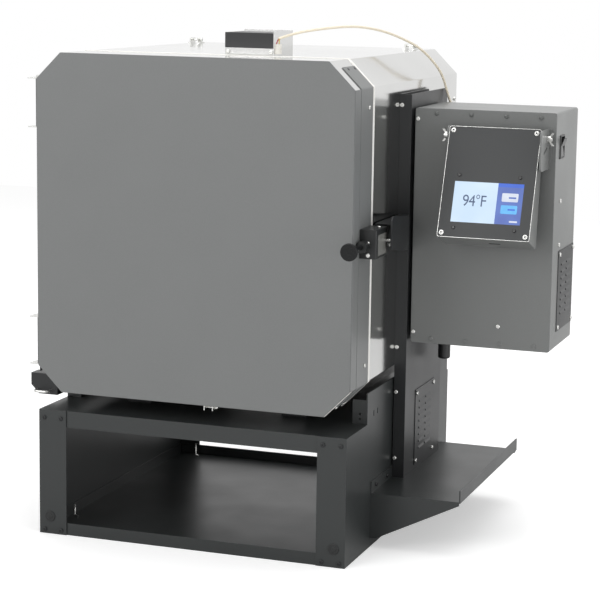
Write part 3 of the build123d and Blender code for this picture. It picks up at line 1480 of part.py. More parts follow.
def control_box_front():
    """The box's front panel, with a row of low round dimples along its top and bottom edges."""
    panel = block((BOX_LEFT, BOX_RIGHT), (BOX_FRONT, BOX_FRONT + BOX_SHEET), (BOX_BOTTOM, BOX_TOP))
    panel = fillet(panel.edges().filter_by(Axis.Y), BOX_CORNER_ROUND)
    panel = chamfer(panel.faces().sort_by(Axis.Y)[0].edges(), BOX_SHEET / 3)
    dimple = extrude(Circle(DIMPLE_RADIUS), DIMPLE_HEIGHT)
    dimple = fillet(dimple.edges().sort_by(Axis.Z)[-1], DIMPLE_HEIGHT * SCREW_DOME)
    for offset in DIMPLE_OFFSETS:
        for z in (BOX_BOTTOM + DIMPLE_MARGIN, BOX_TOP - DIMPLE_MARGIN):
            place = Plane(origin=(BOX_LEFT + offset, BOX_FRONT, z), z_dir=(0, -1, 0))
            panel = panel + Location(place) * dimple
    places = box_edge_screw_places() + box_front_screw_places()
    return drilled(panel, PANEL_SCREW, places, (0, -1, 0), BOX_SHEET + 1)


def black_screws():
    """The painted screws of the stand and the shelf."""
    legs = screws(PANEL_SCREW, front_screw_places(), (0, -1, 0), LEG_GRIP)
    legs = legs + screws(PANEL_SCREW, rear_screw_places(), (0, 1, 0), LEG_GRIP)
    shelf = screws(PANEL_SCREW, shelf_screw_places(), (1, 0, 0), SHELF_SHEET + STAND_SHEET)
    return group(legs + shelf)


def box_screws():
    """The screws of the control box and of both vent plates."""
    pieces = screws(PANEL_SCREW, channel_vent_screw_places(), (1, 0, 0), VENT_SHEET + CHANNEL_SHEET)
    pieces = pieces + screws(PANEL_SCREW, box_vent_screw_places(), (1, 0, 0), VENT_SHEET + BOX_SHEET)
    fronts = box_edge_screw_places() + box_front_screw_places()
    pieces = pieces + screws(PANEL_SCREW, fronts, (0, -1, 0), BOX_SHEET)
    pieces = pieces + screws(PANEL_SCREW, box_side_screw_places(), (1, 0, 0), BOX_SHEET)
    return pieces + screws(PANEL_SCREW, box_bolt_places(), (1, 0, 0), BOX_BOLT_GRIP)


def bright_screws():
    """The plated screws of the body, its hinges and brackets, the channel and the control box."""
    pieces = screws(PANEL_SCREW, jacket_screw_places(), (1, 0, 0), JACKET_SHEET)
    pieces = pieces + screws(PANEL_SCREW, back_cover_screw_places(), (0, 1, 0), BACK_COVER_SHEET)
    pieces = pieces + screws(PANEL_SCREW, junction_screw_places(), (0, -1, 0), JUNCTION_SHEET)
    for centre in hinge_centres():
        pieces = pieces + screws(PANEL_SCREW, hinge_screw_places(centre), (-1, 0, 0), HINGE_SHEET)
    bracket_grip = LOWER_BRACKET_SHEET + STAND_SHEET
    pieces = pieces + screws(PANEL_SCREW, lower_bracket_screw_places(), (-1, 0, 0), bracket_grip)
    pieces = pieces + screws(PANEL_SCREW, strike_screw_places(), (0, -1, 0), STRIKE_SHEET + CHANNEL_SHEET)
    pieces = pieces + screws(PANEL_SCREW, channel_screw_places(), (0, -1, 0), CHANNEL_SHEET + 1)
    return group(pieces + box_screws())


# Power switch


ROCKER_X = BOX_RIGHT - ROCKER_PIVOT_DEPTH


def switch_middle():
    """The height of the power switch's middle."""
    y, z = switch_limits()
    return (z[0] + z[1]) / 2


def switch_bezel():
    """The power switch's rim and body, open towards the rocker, with bearings for its pins."""
    y, z = switch_limits()
    rim = block((BOX_RIGHT, BOX_RIGHT + SWITCH_BEZEL), y, z)
    rim = chamfer(rim.faces().sort_by(Axis.X)[-1].edges(), SWITCH_BEZEL / 2)
    body_y, body_z = switch_section(SWITCH_LAP)
    rear = BOX_RIGHT - SWITCH_BODY_DEPTH
    body = block((rear, BOX_RIGHT), body_y, body_z)
    hollow_y, hollow_z = switch_section(SWITCH_LAP + SWITCH_WALL)
    hollow = block((rear + SWITCH_WALL, BOX_RIGHT + SWITCH_BEZEL + 1), hollow_y, hollow_z)
    middle = switch_middle()
    bearing_start = (ROCKER_X, hollow_y[0] - SWITCH_BEARING, middle)
    bearing_end = (ROCKER_X, hollow_y[1] + SWITCH_BEARING, middle)
    return rim + body - hollow - rod(bearing_start, bearing_end, ROCKER_PIN_RADIUS + SLIDE_CLEARANCE)


def power_rocker():
    """The rocker, pressed in at its lower end, with a pin at each side."""
    hollow_y, hollow_z = switch_section(SWITCH_LAP + SWITCH_WALL)
    along = (hollow_y[0] + ROCKER_SIDE_GAP, hollow_y[1] - ROCKER_SIDE_GAP)
    back = ROCKER_WING * ROCKER_BACK_SHARE
    outline = [
        (-ROCKER_DIP, -back), (-ROCKER_DIP, back), (ROCKER_DIP, ROCKER_WING), (ROCKER_RISE, ROCKER_WING),
        (ROCKER_RISE - ROCKER_DIP, 0), (ROCKER_RISE, -ROCKER_WING), (ROCKER_DIP, -ROCKER_WING),
    ]
    rocker = prism_y(outline, along)
    pin_start = (0, hollow_y[0] - ROCKER_PIN_REACH, 0)
    rocker = rocker + rod(pin_start, (0, hollow_y[1] + ROCKER_PIN_REACH, 0), ROCKER_PIN_RADIUS)
    return Pos(ROCKER_X, 0, switch_middle()) * Rot(0, ROCKER_TILT, 0) * rocker


# Display


def on_display(shape):
    """The shape moved from the display's own frame to its place."""
    return Location(DISPLAY_PLANE) * shape


def display_screw_places():
    """The places of the bright screws at the display plate's corners, in its own frame."""
    side = DISPLAY_WIDTH / 2 - DISPLAY_SCREW_INSET
    ends = (DISPLAY_SCREW_INSET, DISPLAY_LENGTH - DISPLAY_SCREW_INSET)
    return [(x, y, 0) for x in (-side, side) for y in ends]


def display_stud_places():
    """The places of the dark screws above and below the screen, in the display's own frame."""
    side = DISPLAY_WIDTH / 2 - STUD_INSET
    return [(x, y, 0) for x in (-side, side) for y in STUD_RISES]


def screen_limits():
    """The limits of the screen's window in the display's own frame, in x and y."""
    left = -DISPLAY_WIDTH / 2 + SCREEN_OFFSET
    return (left, left + SCREEN_WIDTH), (SCREEN_RISE, SCREEN_RISE + SCREEN_HEIGHT)


def display_plate():
    """The display's front plate, with the screen's window."""
    half = DISPLAY_WIDTH / 2
    plate = block((-half, half), (0, DISPLAY_LENGTH), (-DISPLAY_PLATE_SHEET, 0))
    plate = fillet(plate.edges().filter_by(Axis.Z), DISPLAY_CORNER_ROUND)
    x, y = screen_limits()
    plate = plate - block(x, y, (-DISPLAY_PLATE_SHEET - 1, 1))
    places = display_screw_places() + display_stud_places()
    return on_display(drilled(plate, SMALL_SCREW, places, (0, 0, 1), DISPLAY_PLATE_SHEET + 1))


def wedge(inset):
    """The display housing's tapered form behind the plate, drawn in by an inset."""
    half = DISPLAY_WIDTH / 2 - inset
    back = -DISPLAY_PLATE_SHEET
    outline = [
        (inset, back), (DISPLAY_LENGTH - inset, back),
        (DISPLAY_LENGTH - inset, -DISPLAY_TOP_DEPTH + inset), (inset, -DISPLAY_BOTTOM_DEPTH + inset),
    ]
    return prism_x(outline, (-half, half))


def display_housing():
    """The tapered tray behind the display plate."""
    tray = wedge(0)
    front_edges = tray.edges().filter_by(Axis.Z)
    tray = fillet(front_edges, DISPLAY_CORNER_ROUND)
    hollow = wedge(DISPLAY_WALL)
    mouth_x = DISPLAY_WIDTH / 2 - DISPLAY_WALL
    mouth = block(
        (-mouth_x, mouth_x),
        (DISPLAY_WALL, DISPLAY_LENGTH - DISPLAY_WALL),
        (-DISPLAY_PLATE_SHEET - 1, -DISPLAY_PLATE_SHEET + 1),
    )
    tray = tray - hollow - mouth
    inner_x = DISPLAY_WIDTH / 2 - DISPLAY_WALL / 2
    ends = (DISPLAY_WALL / 2, DISPLAY_LENGTH - DISPLAY_WALL / 2)
    boss_z = (-DISPLAY_PLATE_SHEET - DISPLAY_BOSS_DEPTH, -DISPLAY_PLATE_SHEET)
    for side in (-1, 1):
        boss_x = sorted((side * inner_x, side * (inner_x - DISPLAY_BOSS)))
        tray = tray + block(boss_x, (ends[0], ends[0] + DISPLAY_BOSS), boss_z)
        tray = tray + block(boss_x, (ends[1] - DISPLAY_BOSS, ends[1]), boss_z)
    screw_depth = DISPLAY_PLATE_SHEET + DISPLAY_BOSS_DEPTH - 1
    tray = drilled(tray, SMALL_SCREW, display_screw_places(), (0, 0, 1), screw_depth)
    reach = DISPLAY_WIDTH / 2 + 1
    pivot_start = (-reach, PIVOT_RISE, -PIVOT_DEPTH)
    pivot_end = (reach, PIVOT_RISE, -PIVOT_DEPTH)
    pivot = rod(pivot_start, pivot_end, PIVOT_BOLT_RADIUS + PIVOT_CLEARANCE)
    return on_display(tray - pivot)


def touchscreen():
    """The screen behind the plate's window, with its controller at its back."""
    x, y = screen_limits()
    rim = SCREEN_THICKNESS / 2
    glass = block(
        (x[0] + SCREEN_CLEARANCE, x[1] - SCREEN_CLEARANCE),
        (y[0] + SCREEN_CLEARANCE, y[1] - SCREEN_CLEARANCE),
        (-DISPLAY_PLATE_SHEET - rim, -SCREEN_INSET),
    )
    rear = -DISPLAY_PLATE_SHEET - SCREEN_THICKNESS
    frame = block((x[0] - rim, x[1] + rim), (y[0] - rim, y[1] + rim), (rear, -DISPLAY_PLATE_SHEET))
    board = block(
        (x[0] + BOARD_MARGIN, x[1] - BOARD_MARGIN),
        (y[0] + BOARD_MARGIN, y[1] - BOARD_MARGIN),
        (rear - BOARD_THICKNESS, rear),
    )
    return on_display(glass + frame + board)


def display_screws():
    """The screws at the display plate's corners and those above and below the screen."""
    corner_grip = DISPLAY_PLATE_SHEET + DISPLAY_BOSS_DEPTH / 2
    corners = screws(SMALL_SCREW, display_screw_places(), (0, 0, 1), corner_grip)
    frame = screws(SMALL_SCREW, display_stud_places(), (0, 0, 1), DISPLAY_PLATE_SHEET)
    return group([on_display(shape) for shape in corners + frame])


def pivot_bolt(shoulder):
    """The right pivot bolt: a shoulder between the housing and its cheek, and a threaded shank."""
    y, z = PIVOT_PLACE.Y, PIVOT_PLACE.Z
    side = DISPLAY_CENTRE + DISPLAY_WIDTH / 2
    cheek = side + shoulder
    end = cheek + CHEEK_SHEET + PIVOT_SIDE_GAP + WING_HUB_LENGTH + BOLT_END_PROUD
    start = side - DISPLAY_WALL
    bolt = Part() + rod((start, y, z), (end, y, z), PIVOT_BOLT_RADIUS)
    return bolt + rod((side, y, z), (cheek - PIVOT_SIDE_GAP, y, z), PIVOT_SHOULDER_RADIUS)


def across_display(shape):
    """The same shape on the other side of the display."""
    return mirror(shape, Plane(origin=(DISPLAY_CENTRE, 0, 0), z_dir=(1, 0, 0)))


def pivot_bolts():
    """The bolts that the display tilts on."""
    return group([across_display(pivot_bolt(LEFT_SHOULDER)), pivot_bolt(RIGHT_SHOULDER)])


def pivot_cheek(shoulder, depth, below, flange_x):
    """A cheek at the display's right: an upright plate for the pivot bolt, with a flange on the box."""
    y, z = PIVOT_PLACE.Y, PIVOT_PLACE.Z
    inner = DISPLAY_CENTRE + DISPLAY_WIDTH / 2 + shoulder
    height = (z - below, z + CHEEK_ABOVE)
    upright = block((inner, inner + CHEEK_SHEET), (BOX_FRONT - depth, BOX_FRONT), height)
    front_edges = upright.faces().sort_by(Axis.Y)[0].edges().filter_by(Axis.X)
    upright = fillet(front_edges, CHEEK_ROUND)
    along = (inner + flange_x[0], inner + flange_x[1])
    flange = block(along, (BOX_FRONT - CHEEK_SHEET, BOX_FRONT), height)
    bore = rod((inner - 1, y, z), (inner + CHEEK_SHEET + 1, y, z), PIVOT_BOLT_RADIUS + PIVOT_CLEARANCE)
    return upright + flange - bore


def cheek_slot():
    """The slanting slot through the right cheek, under its pivot."""
    x = DISPLAY_CENTRE + DISPLAY_WIDTH / 2 + RIGHT_SHOULDER + CHEEK_SHEET / 2
    y, z = PIVOT_PLACE.Y - CHEEK_SLOT_OFFSET, PIVOT_PLACE.Z - CHEEK_SLOT_DROP
    plane = Plane(origin=(x, y, z), x_dir=(0, 1, 0), z_dir=(1, 0, 0))
    slot = SlotOverall(CHEEK_SLOT_LENGTH, CHEEK_SLOT_WIDTH, rotation=CHEEK_SLOT_TILT)
    return Location(plane) * extrude(slot, CHEEK_SHEET, both=True)


def pivot_cheeks():
    """The cheeks at both sides of the display: a short one at its left and a long one at its right."""
    left_flange = (CHEEK_SHEET - CHEEK_FLANGE, CHEEK_SHEET)
    left = pivot_cheek(LEFT_SHOULDER, LEFT_CHEEK_DEPTH, LEFT_CHEEK_BELOW, left_flange)
    right = pivot_cheek(RIGHT_SHOULDER, RIGHT_CHEEK_DEPTH, RIGHT_CHEEK_BELOW, (0, CHEEK_FLANGE))
    return group([across_display(left), right - cheek_slot()])


def wing_nut(shoulder):
    """A wing nut outside a cheek at the display's right."""
    y, z = PIVOT_PLACE.Y, PIVOT_PLACE.Z
    inner = DISPLAY_CENTRE + DISPLAY_WIDTH / 2 + shoulder + CHEEK_SHEET + PIVOT_SIDE_GAP
    outer = inner + WING_HUB_LENGTH
    nut = Part() + rod((inner, y, z), (outer, y, z), WING_HUB_RADIUS)
    half = WING_THICKNESS / 2
    for side in (-1, 1):
        tip = z + side * WING_SPAN
        root = z + side * WING_HUB_RADIUS / 2
        outline = [
            (inner + 1, root), (outer, root), (inner + WING_REACH, tip), (inner + WING_REACH - WING_TIP, tip),
        ]
        nut = nut + prism_y(outline, (y - half, y + half))
    bore = PIVOT_BOLT_RADIUS + PIVOT_CLEARANCE
    return nut - rod((inner - 1, y, z), (inner + WING_REACH + 1, y, z), bore)


def wing_nut_right():
    """The wing nut outside the right cheek."""
    return wing_nut(RIGHT_SHOULDER)


def wing_nut_left():
    """The wing nut outside the left cheek."""
    return across_display(wing_nut(LEFT_SHOULDER))


# Inside the control box, and its glands


def on_rear_wall(size, inset, rise):
    """A block of the given width, depth and height on the inside of the box's rear wall."""
    left = BOX_LEFT + inset
    rear = BOX_REAR - BOX_SHEET
    bottom = BOX_BOTTOM + rise
    return block((left, left + size[0]), (rear - size[1], rear), (bottom, bottom + size[2]))


def contactors():
    """The two contactors that switch the heating elements."""
    pieces = []
    for number in range(2):
        inset = CONTACTOR_INSET + number * (CONTACTOR_SIZE[0] + CONTACTOR_GAP)
        base = on_rear_wall(CONTACTOR_SIZE, inset, CONTACTOR_RISE)
        rear = BOX_REAR - BOX_SHEET - CONTACTOR_SIZE[1]
        middle_x = BOX_LEFT + inset + CONTACTOR_SIZE[0] / 2
        middle_z = BOX_BOTTOM + CONTACTOR_RISE + CONTACTOR_SIZE[2] / 2
        cap = block(
            (middle_x - CONTACTOR_CAP[0] / 2, middle_x + CONTACTOR_CAP[0] / 2),
            (rear - CONTACTOR_CAP[1], rear),
            (middle_z - CONTACTOR_CAP[2] / 2, middle_z + CONTACTOR_CAP[2] / 2),
        )
        pieces.append(base + cap)
    return group(pieces)


def power_supply():
    """The low-voltage power supply."""
    case = on_rear_wall(POWER_SUPPLY_SIZE, POWER_SUPPLY_INSET, POWER_SUPPLY_RISE)
    return chamfer(case.faces().sort_by(Axis.Y)[0].edges(), 1)


def lead_gland():
    """The gland of the thermocouple lead on the box's rear wall."""
    x, z = lead_gland_place()
    end = LEAD_ROUTE[-1][1]
    nut = extrude(RegularPolygon(GLAND_RADIUS, 6), GLAND_NUT)
    nut = Location(Plane(origin=(x, BOX_REAR, z), z_dir=(0, 1, 0))) * nut
    barrel = rod((x, BOX_REAR - GLAND_THREAD, z), (x, end, z), GLAND_BARREL_RADIUS)
    gland = nut + barrel
    rim = gland.edges().filter_by(GeomType.CIRCLE).sort_by(Axis.Y)[-1]
    return fillet(rim, GLAND_BARREL_RADIUS / 4)


def power_gland():
    """The power cord's gland under the box, with an empty bore."""
    x, y = power_gland_place()
    nut = extrude(RegularPolygon(POWER_GLAND_RADIUS, 6), POWER_GLAND_NUT)
    nut = Location(Plane(origin=(x, y, BOX_BOTTOM), z_dir=(0, 0, -1))) * nut
    bottom = BOX_BOTTOM - POWER_GLAND_DOME
    dome = rod((x, y, bottom), (x, y, BOX_BOTTOM + GLAND_THREAD), POWER_GLAND_DOME_RADIUS)
    gland = nut + dome
    rim = gland.edges().filter_by(GeomType.CIRCLE).sort_by(Axis.Z)[0]
    gland = fillet(rim, POWER_GLAND_DOME_RADIUS / 3)
    return gland - rod((x, y, bottom - 1), (x, y, BOX_BOTTOM + GLAND_THREAD + 1), POWER_GLAND_BORE)


def cable_glands():
    """The glands of the thermocouple lead and the power cord."""
    return group([lead_gland(), power_gland()])


NODES = {
    "stand_side_left": stand_side_left,
    "stand_side_right": stand_side_right,
    "stand_deck": stand_deck,
    "stand_floor": stand_floor,
    "black_screws": black_screws,
    "bright_screws": bright_screws,
    "stand_plugs": stand_plugs,
    "body_runners": body_runners,
    "side_shelf": side_shelf,
    "shelf_gussets": shelf_gussets,
    "body_jacket": body_jacket,
    "jacket_clamps": jacket_clamps,
    "brick_floor": brick_floor,
    "brick_roof": brick_roof,
    "brick_left": lambda: mirrored(brick_right()),
    "brick_right": brick_right,
    "brick_back": brick_back,
    "heating_elements": heating_elements,
    "element_bushings": element_bushings,
    "element_terminals": element_terminals,
    "back_cover": back_cover,
    "junction_bracket": junction_bracket,
    "junction_cover": junction_cover,
    "thermocouple_probe": thermocouple_probe,
    "terminal_block": terminal_block,
    "thermocouple_lead": thermocouple_lead,
    "door_plate": door_plate,
    "door_backing": door_backing,
    "door_brick": door_brick,
    "door_seal": door_seal,
    "door_jacket": door_jacket,
    "door_side_cover": door_side_cover,
    "door_screws": door_screws,
    "door_clamp": door_clamp,
    "hinge_brackets": hinge_brackets,
    "hinge_leaves": hinge_leaves,
    "hinge_pins": hinge_pins,
    "lower_bracket": lower_bracket,
    "lower_stirrup": lower_stirrup,
    "latch_housing": latch_housing,
    "latch_knob": latch_knob,
    "latch_bolt": latch_bolt,
    "strike_bracket": strike_bracket,
    "wiring_channel": wiring_channel,
    "vent_plates": vent_plates,
    "control_box_shell": control_box_shell,
    "control_box_front": control_box_front,
    "switch_bezel": switch_bezel,
    "power_rocker": power_rocker,
    "display_plate": display_plate,
    "display_housing": display_housing,
    "touchscreen": touchscreen,
    "display_screws": display_screws,
    "pivot_cheeks": pivot_cheeks,
    "pivot_bolts": pivot_bolts,
    "wing_nut_left": wing_nut_left,
    "wing_nut_right": wing_nut_right,
    "contactors": contactors,
    "power_supply": power_supply,
    "cable_glands": cable_glands,
}

os.makedirs("parts", exist_ok=True)
for name, build in NODES.items():
    export_step(build(), f"parts/{name}.step")
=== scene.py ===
import json
import math

import bpy
from mathutils import Euler, Matrix, Vector


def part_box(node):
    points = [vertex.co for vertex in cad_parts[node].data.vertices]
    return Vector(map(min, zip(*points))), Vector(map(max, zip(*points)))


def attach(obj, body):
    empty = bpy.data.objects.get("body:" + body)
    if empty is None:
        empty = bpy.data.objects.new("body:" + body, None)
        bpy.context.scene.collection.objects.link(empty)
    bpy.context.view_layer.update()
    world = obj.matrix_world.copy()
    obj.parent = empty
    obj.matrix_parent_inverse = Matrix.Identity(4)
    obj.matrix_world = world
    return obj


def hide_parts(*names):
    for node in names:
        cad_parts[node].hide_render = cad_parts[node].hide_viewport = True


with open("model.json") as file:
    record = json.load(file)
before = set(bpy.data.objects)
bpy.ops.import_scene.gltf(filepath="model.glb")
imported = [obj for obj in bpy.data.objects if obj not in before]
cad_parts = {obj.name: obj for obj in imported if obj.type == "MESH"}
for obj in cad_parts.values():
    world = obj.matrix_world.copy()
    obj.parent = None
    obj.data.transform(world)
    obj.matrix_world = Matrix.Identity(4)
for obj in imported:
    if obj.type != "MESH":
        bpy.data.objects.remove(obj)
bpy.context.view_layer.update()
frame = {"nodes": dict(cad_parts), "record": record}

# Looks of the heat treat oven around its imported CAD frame. Metres, x to the right, y to the back, z up.

MM = 0.001

# The photograph's camera
CAMERA_PLACE = (1.1228, -2.8901, 0.8770)
CAMERA_PITCH = 0.15593
CAMERA_YAW = 0.32660
CAMERA_ROLL = 0.01736
CAMERA_LENS = 115.58
SENSOR_WIDTH = 36
CAMERA_SHIFT = (-0.0663, -0.0378)
CAMERA_REACH = (0.05, 50)

# The studio: the floor's own light for the camera, and the sky's light on matt surfaces
FLOOR_SIZE = 8
FLOOR_LIFT = 0.40
SKY_LIGHT = 0.62

# The display's own frame: its plate leans back, and its lowest front edge is the origin.
# The screen's picture lies in layers, split into a pale field and a blue one
DISPLAY_TILT = math.radians(20.5)
DISPLAY_PLATE_SHEET = 2 * MM
SCREEN_OFFSET = 18.4 * MM
SCREEN_RISE = 24 * MM
SCREEN_SIZE = (107 * MM, 63 * MM)
SCREEN_DEPTH = 0.6 * MM
SCREEN_GAP = 0.06 * MM
LAYER_STEP = 0.04 * MM
SCREEN_SPLIT = 0.63
DIGIT_WIDTH = 0.86
DIGIT_SPACING = 0.92

# The heating coils, wound on the line of the CAD hairpins, and their straight tails
COIL_RADIUS = 4.2 * MM
COIL_WIRE = 0.65 * MM
COIL_PITCH = 3.2 * MM
COIL_STEPS = 10
COIL_BEND = 14 * MM
COIL_ROWS = 4
COIL_ROW_PITCH = 80 * MM
COIL_REAR_GAP = 1 * MM
TAIL_WIRE = 1.9 * MM
TAIL_OVERLAP = 2 * MM

# The thermocouple lead, from the terminal block over the roof into the gland
LEAD_DIAMETER = 4 * MM
LEAD_ROUTE = [
    (0.0972, -0.1678, 0.775),
    (0.1139, -0.147, 0.7828),
    (0.1385, -0.122, 0.7886),
    (0.1758, -0.082, 0.7939),
    (0.195, -0.047, 0.792),
    (0.212, -0.002, 0.785),
    (0.229, 0.04, 0.773),
    (0.2467, 0.073, 0.7586),
    (0.2606, 0.103, 0.737),
    (0.272, 0.123, 0.714),
    (0.28, 0.134, 0.676),
    (0.287, 0.142, 0.656),
    (0.296, 0.146, 0.638),
    (0.303, 0.138, 0.622),
    (0.303, 0.12, 0.622),
]

# Its two wire ends, between the terminal block and the sleeve
WIRE_DIAMETER = 1.6 * MM
WIRE_FOOT_SPREAD = 2.1 * MM
WIRE_FOOT_INSET = 1.6 * MM
WIRE_FOOT_GAP = 0.4 * MM
WIRE_TOP_SPREAD = 0.9 * MM
WIRE_TOP_REACH = 1.5 * MM
WIRE_BOW = Vector((0, -0.6, 0.3)) * MM

# The fire brick's joints. The pattern starts some bricks before the origin, so that it stays positive
BRICK_LENGTH = 114.3 * MM
BRICKS_BEFORE_ORIGIN = 20
JOINT_HALF_WIDTH = 0.45 * MM

# The cut corners of the door, and the marks along the top of the control box's front
CORNER_CUT = 40 * MM
RIVET_OFFSETS = (34 * MM, 89 * MM, 144 * MM, 198 * MM)
RIVET_MARGIN = 8 * MM

# The display's screws are bright at its corners, and dark between these two heights
SCREW_DARK_FROM = 0.4956
SCREW_DARK_TO = 0.600

# The sockets of the shader tree's colour mixing node
MIX_FIRST = 6
MIX_SECOND = 7
MIX_RESULT = 2


# Materials


class Finish:
    """A material with its Principled shader, and the few node patterns that the finishes share."""

    def __init__(self, name, **sockets):
        self.material = bpy.data.materials.new(name)
        self.material.use_nodes = True
        self.tree = self.material.node_tree
        self.shader = self.tree.nodes["Principled BSDF"]
        for socket, value in sockets.items():
            self.shader.inputs[socket.replace("_", " ")].default_value = value
        self.place = self.node("ShaderNodeTexCoord").outputs["Object"]

    def node(self, kind, **settings):
        made = self.tree.nodes.new(kind)
        for setting, value in settings.items():
            setattr(made, setting, value)
        return made

    def link(self, output, socket):
        self.tree.links.new(output, socket)

    def stretched(self, scale):
        """The object's coordinates, scaled differently along each axis."""
        mapping = self.node("ShaderNodeMapping")
        mapping.inputs["Scale"].default_value = scale
        self.link(self.place, mapping.inputs["Vector"])
        return mapping.outputs["Vector"]

    def noise(self, size, detail=2.0, stretch=None):
        """Noise with features of about the given size in metres."""
        made = self.node("ShaderNodeTexNoise")
        made.inputs["Scale"].default_value = 1 / size
        made.inputs["Detail"].default_value = detail
        self.link(self.stretched(stretch) if stretch else self.place, made.inputs["Vector"])
        return made.outputs["Fac"]

    def cells(self, size):
        """Distance to the nearest of many scattered points."""
        made = self.node("ShaderNodeTexVoronoi")
        made.inputs["Scale"].default_value = 1 / size
        self.link(self.place, made.inputs["Vector"])
        return made.outputs["Distance"]

    def ramp(self, value, low, high, start=0.3, end=0.7):
        """The value's stretch from start to end, spread over low to high."""
        made = self.node("ShaderNodeMapRange")
        for socket, number in zip(("From Min", "From Max", "To Min", "To Max"), (start, end, low, high)):
            made.inputs[socket].default_value = number
        self.link(value, made.inputs["Value"])
        return made.outputs["Result"]

    def maths(self, operation, first, second):
        made = self.node("ShaderNodeMath", operation=operation)
        for number, value in enumerate((first, second)):
            if isinstance(value, (int, float)):
                made.inputs[number].default_value = value
            else:
                self.link(value, made.inputs[number])
        return made.outputs["Value"]

    def axis(self, name):
        """One of the object's coordinates, X, Y or Z."""
        made = self.node("ShaderNodeSeparateXYZ")
        self.link(self.place, made.inputs["Vector"])
        return made.outputs[name]

    def blend(self, factor, first, second):
        """A colour between two colours, each a triple or another node's colour."""
        made = self.node("ShaderNodeMix", data_type="RGBA")
        self.link(factor, made.inputs["Factor"])
        for socket, value in ((made.inputs[MIX_FIRST], first), (made.inputs[MIX_SECOND], second)):
            if isinstance(value, tuple):
                socket.default_value = (*value, 1)
            else:
                self.link(value, socket)
        return made.outputs[MIX_RESULT]

    def colour(self, output):
        self.link(output, self.shader.inputs["Base Color"])

    def roughness(self, output):
        self.link(output, self.shader.inputs["Roughness"])

    def relief(self, height, depth, edge=0.0):
        """Bump of the given depth in metres, over edges that are softened by a radius."""
        bump = self.node("ShaderNodeBump")
        bump.inputs["Strength"].default_value = 1
        bump.inputs["Distance"].default_value = depth
        self.link(height, bump.inputs["Height"])
        if edge:
            bevel = self.node("ShaderNodeBevel", samples=4)
            bevel.inputs["Radius"].default_value = edge
            self.link(bevel.outputs["Normal"], bump.inputs["Normal"])
        self.link(bump.outputs["Normal"], self.shader.inputs["Normal"])


def shade(colour, factor):
    return tuple(channel * factor for channel in colour)


def powder_coat(name, colour, grain, depth, gloss, variation=0.12, **sockets):
    """Baked powder coat: a fine pebbled skin, slightly uneven in tone and gloss."""
    finish = Finish(name, **sockets)
    pebbles = finish.noise(grain, detail=3)
    clouds = finish.noise(90 * MM, detail=2)
    darker = shade(colour, 1 - variation)
    lighter = shade(colour, 1 + variation)
    tone = finish.blend(finish.ramp(pebbles, 0, 1), darker, lighter)
    finish.colour(finish.blend(finish.ramp(clouds, 0, 0.35), tone, shade(colour, 1.06)))
    finish.roughness(finish.ramp(clouds, gloss - 0.03, gloss + 0.03))
    finish.relief(pebbles, depth, edge=0.5 * MM)
    return finish.material


def polished_stainless(name):
    """Polished sheet with a faint waviness and a fine rolling grain."""
    finish = Finish(name, Metallic=1)
    waves = finish.noise(160 * MM, detail=1)
    grain = finish.noise(0.5 * MM, stretch=(1, 0.02, 1))
    finish.colour(finish.blend(finish.ramp(waves, 0, 1), (0.63, 0.63, 0.62), (0.69, 0.69, 0.68)))
    finish.roughness(finish.ramp(grain, 0.10, 0.17))
    finish.relief(waves, 1.2 * MM, edge=0.4 * MM)
    return finish.material


def back_steel(name):
    """Plain rolled sheet with a brushed grain."""
    finish = Finish(name, Metallic=1)
    grain = finish.noise(0.7 * MM, stretch=(0.03, 1, 1))
    finish.colour(finish.blend(finish.ramp(grain, 0, 1), (0.46, 0.46, 0.45), (0.55, 0.55, 0.54)))
    finish.roughness(finish.ramp(grain, 0.28, 0.42))
    finish.relief(grain, 0.05 * MM, edge=0.4 * MM)
    return finish.material


def plated_finish(name):
    """Bright zinc plating with small marks."""
    finish = Finish(name, Metallic=1)
    marks = finish.noise(1.5 * MM, detail=3)
    finish.colour(finish.blend(finish.ramp(marks, 0, 1), (0.60, 0.60, 0.58), (0.78, 0.78, 0.76)))
    finish.roughness(finish.ramp(marks, 0.16, 0.32))
    finish.relief(marks, 0.02 * MM, edge=0.2 * MM)
    return finish


def plated_steel(name):
    return plated_finish(name).material


def display_screw_steel(name, low, high):
    """Plating at the display's corners, and blackened steel between two heights."""
    finish = plated_finish(name)
    height = finish.axis("Z")
    above = finish.maths("GREATER_THAN", height, low)
    below = finish.maths("LESS_THAN", height, high)
    dark = finish.maths("MULTIPLY", above, below)
    marks = finish.noise(1.5 * MM, detail=3)
    bright = finish.blend(marks, (0.58, 0.58, 0.56), (0.80, 0.80, 0.78))
    finish.colour(finish.blend(dark, bright, (0.05, 0.05, 0.05)))
    return finish.material


def fire_brick(name):
    """Insulating fire brick: a pale porous body with thin joints."""
    finish = Finish(name, Specular_IOR_Level=0.2)
    pores = finish.cells(2.2 * MM)
    clouds = finish.noise(45 * MM, detail=4)
    tone = finish.blend(finish.ramp(clouds, 0, 1), (0.76, 0.70, 0.60), (0.88, 0.84, 0.75))
    # Darker towards the pore centres: painted shade in the pores.
    tone = finish.blend(finish.ramp(pores, 0.55, 0, 0.0, 0.22), tone, (0.42, 0.35, 0.26))
    joint = None
    for direction in ("X", "Y", "Z"):
        along = finish.maths("ADD", finish.axis(direction), (BRICKS_BEFORE_ORIGIN + 0.5) * BRICK_LENGTH)
        offset = finish.maths("PINGPONG", along, BRICK_LENGTH / 2)
        line = finish.maths("LESS_THAN", offset, JOINT_HALF_WIDTH)
        joint = line if joint is None else finish.maths("MAXIMUM", joint, line)
    finish.colour(finish.blend(joint, tone, (0.36, 0.31, 0.25)))
    finish.shader.inputs["Roughness"].default_value = 0.95
    finish.relief(finish.ramp(pores, 0, 1, 0.0, 0.25), 0.6 * MM, edge=0.8 * MM)
    return finish.material


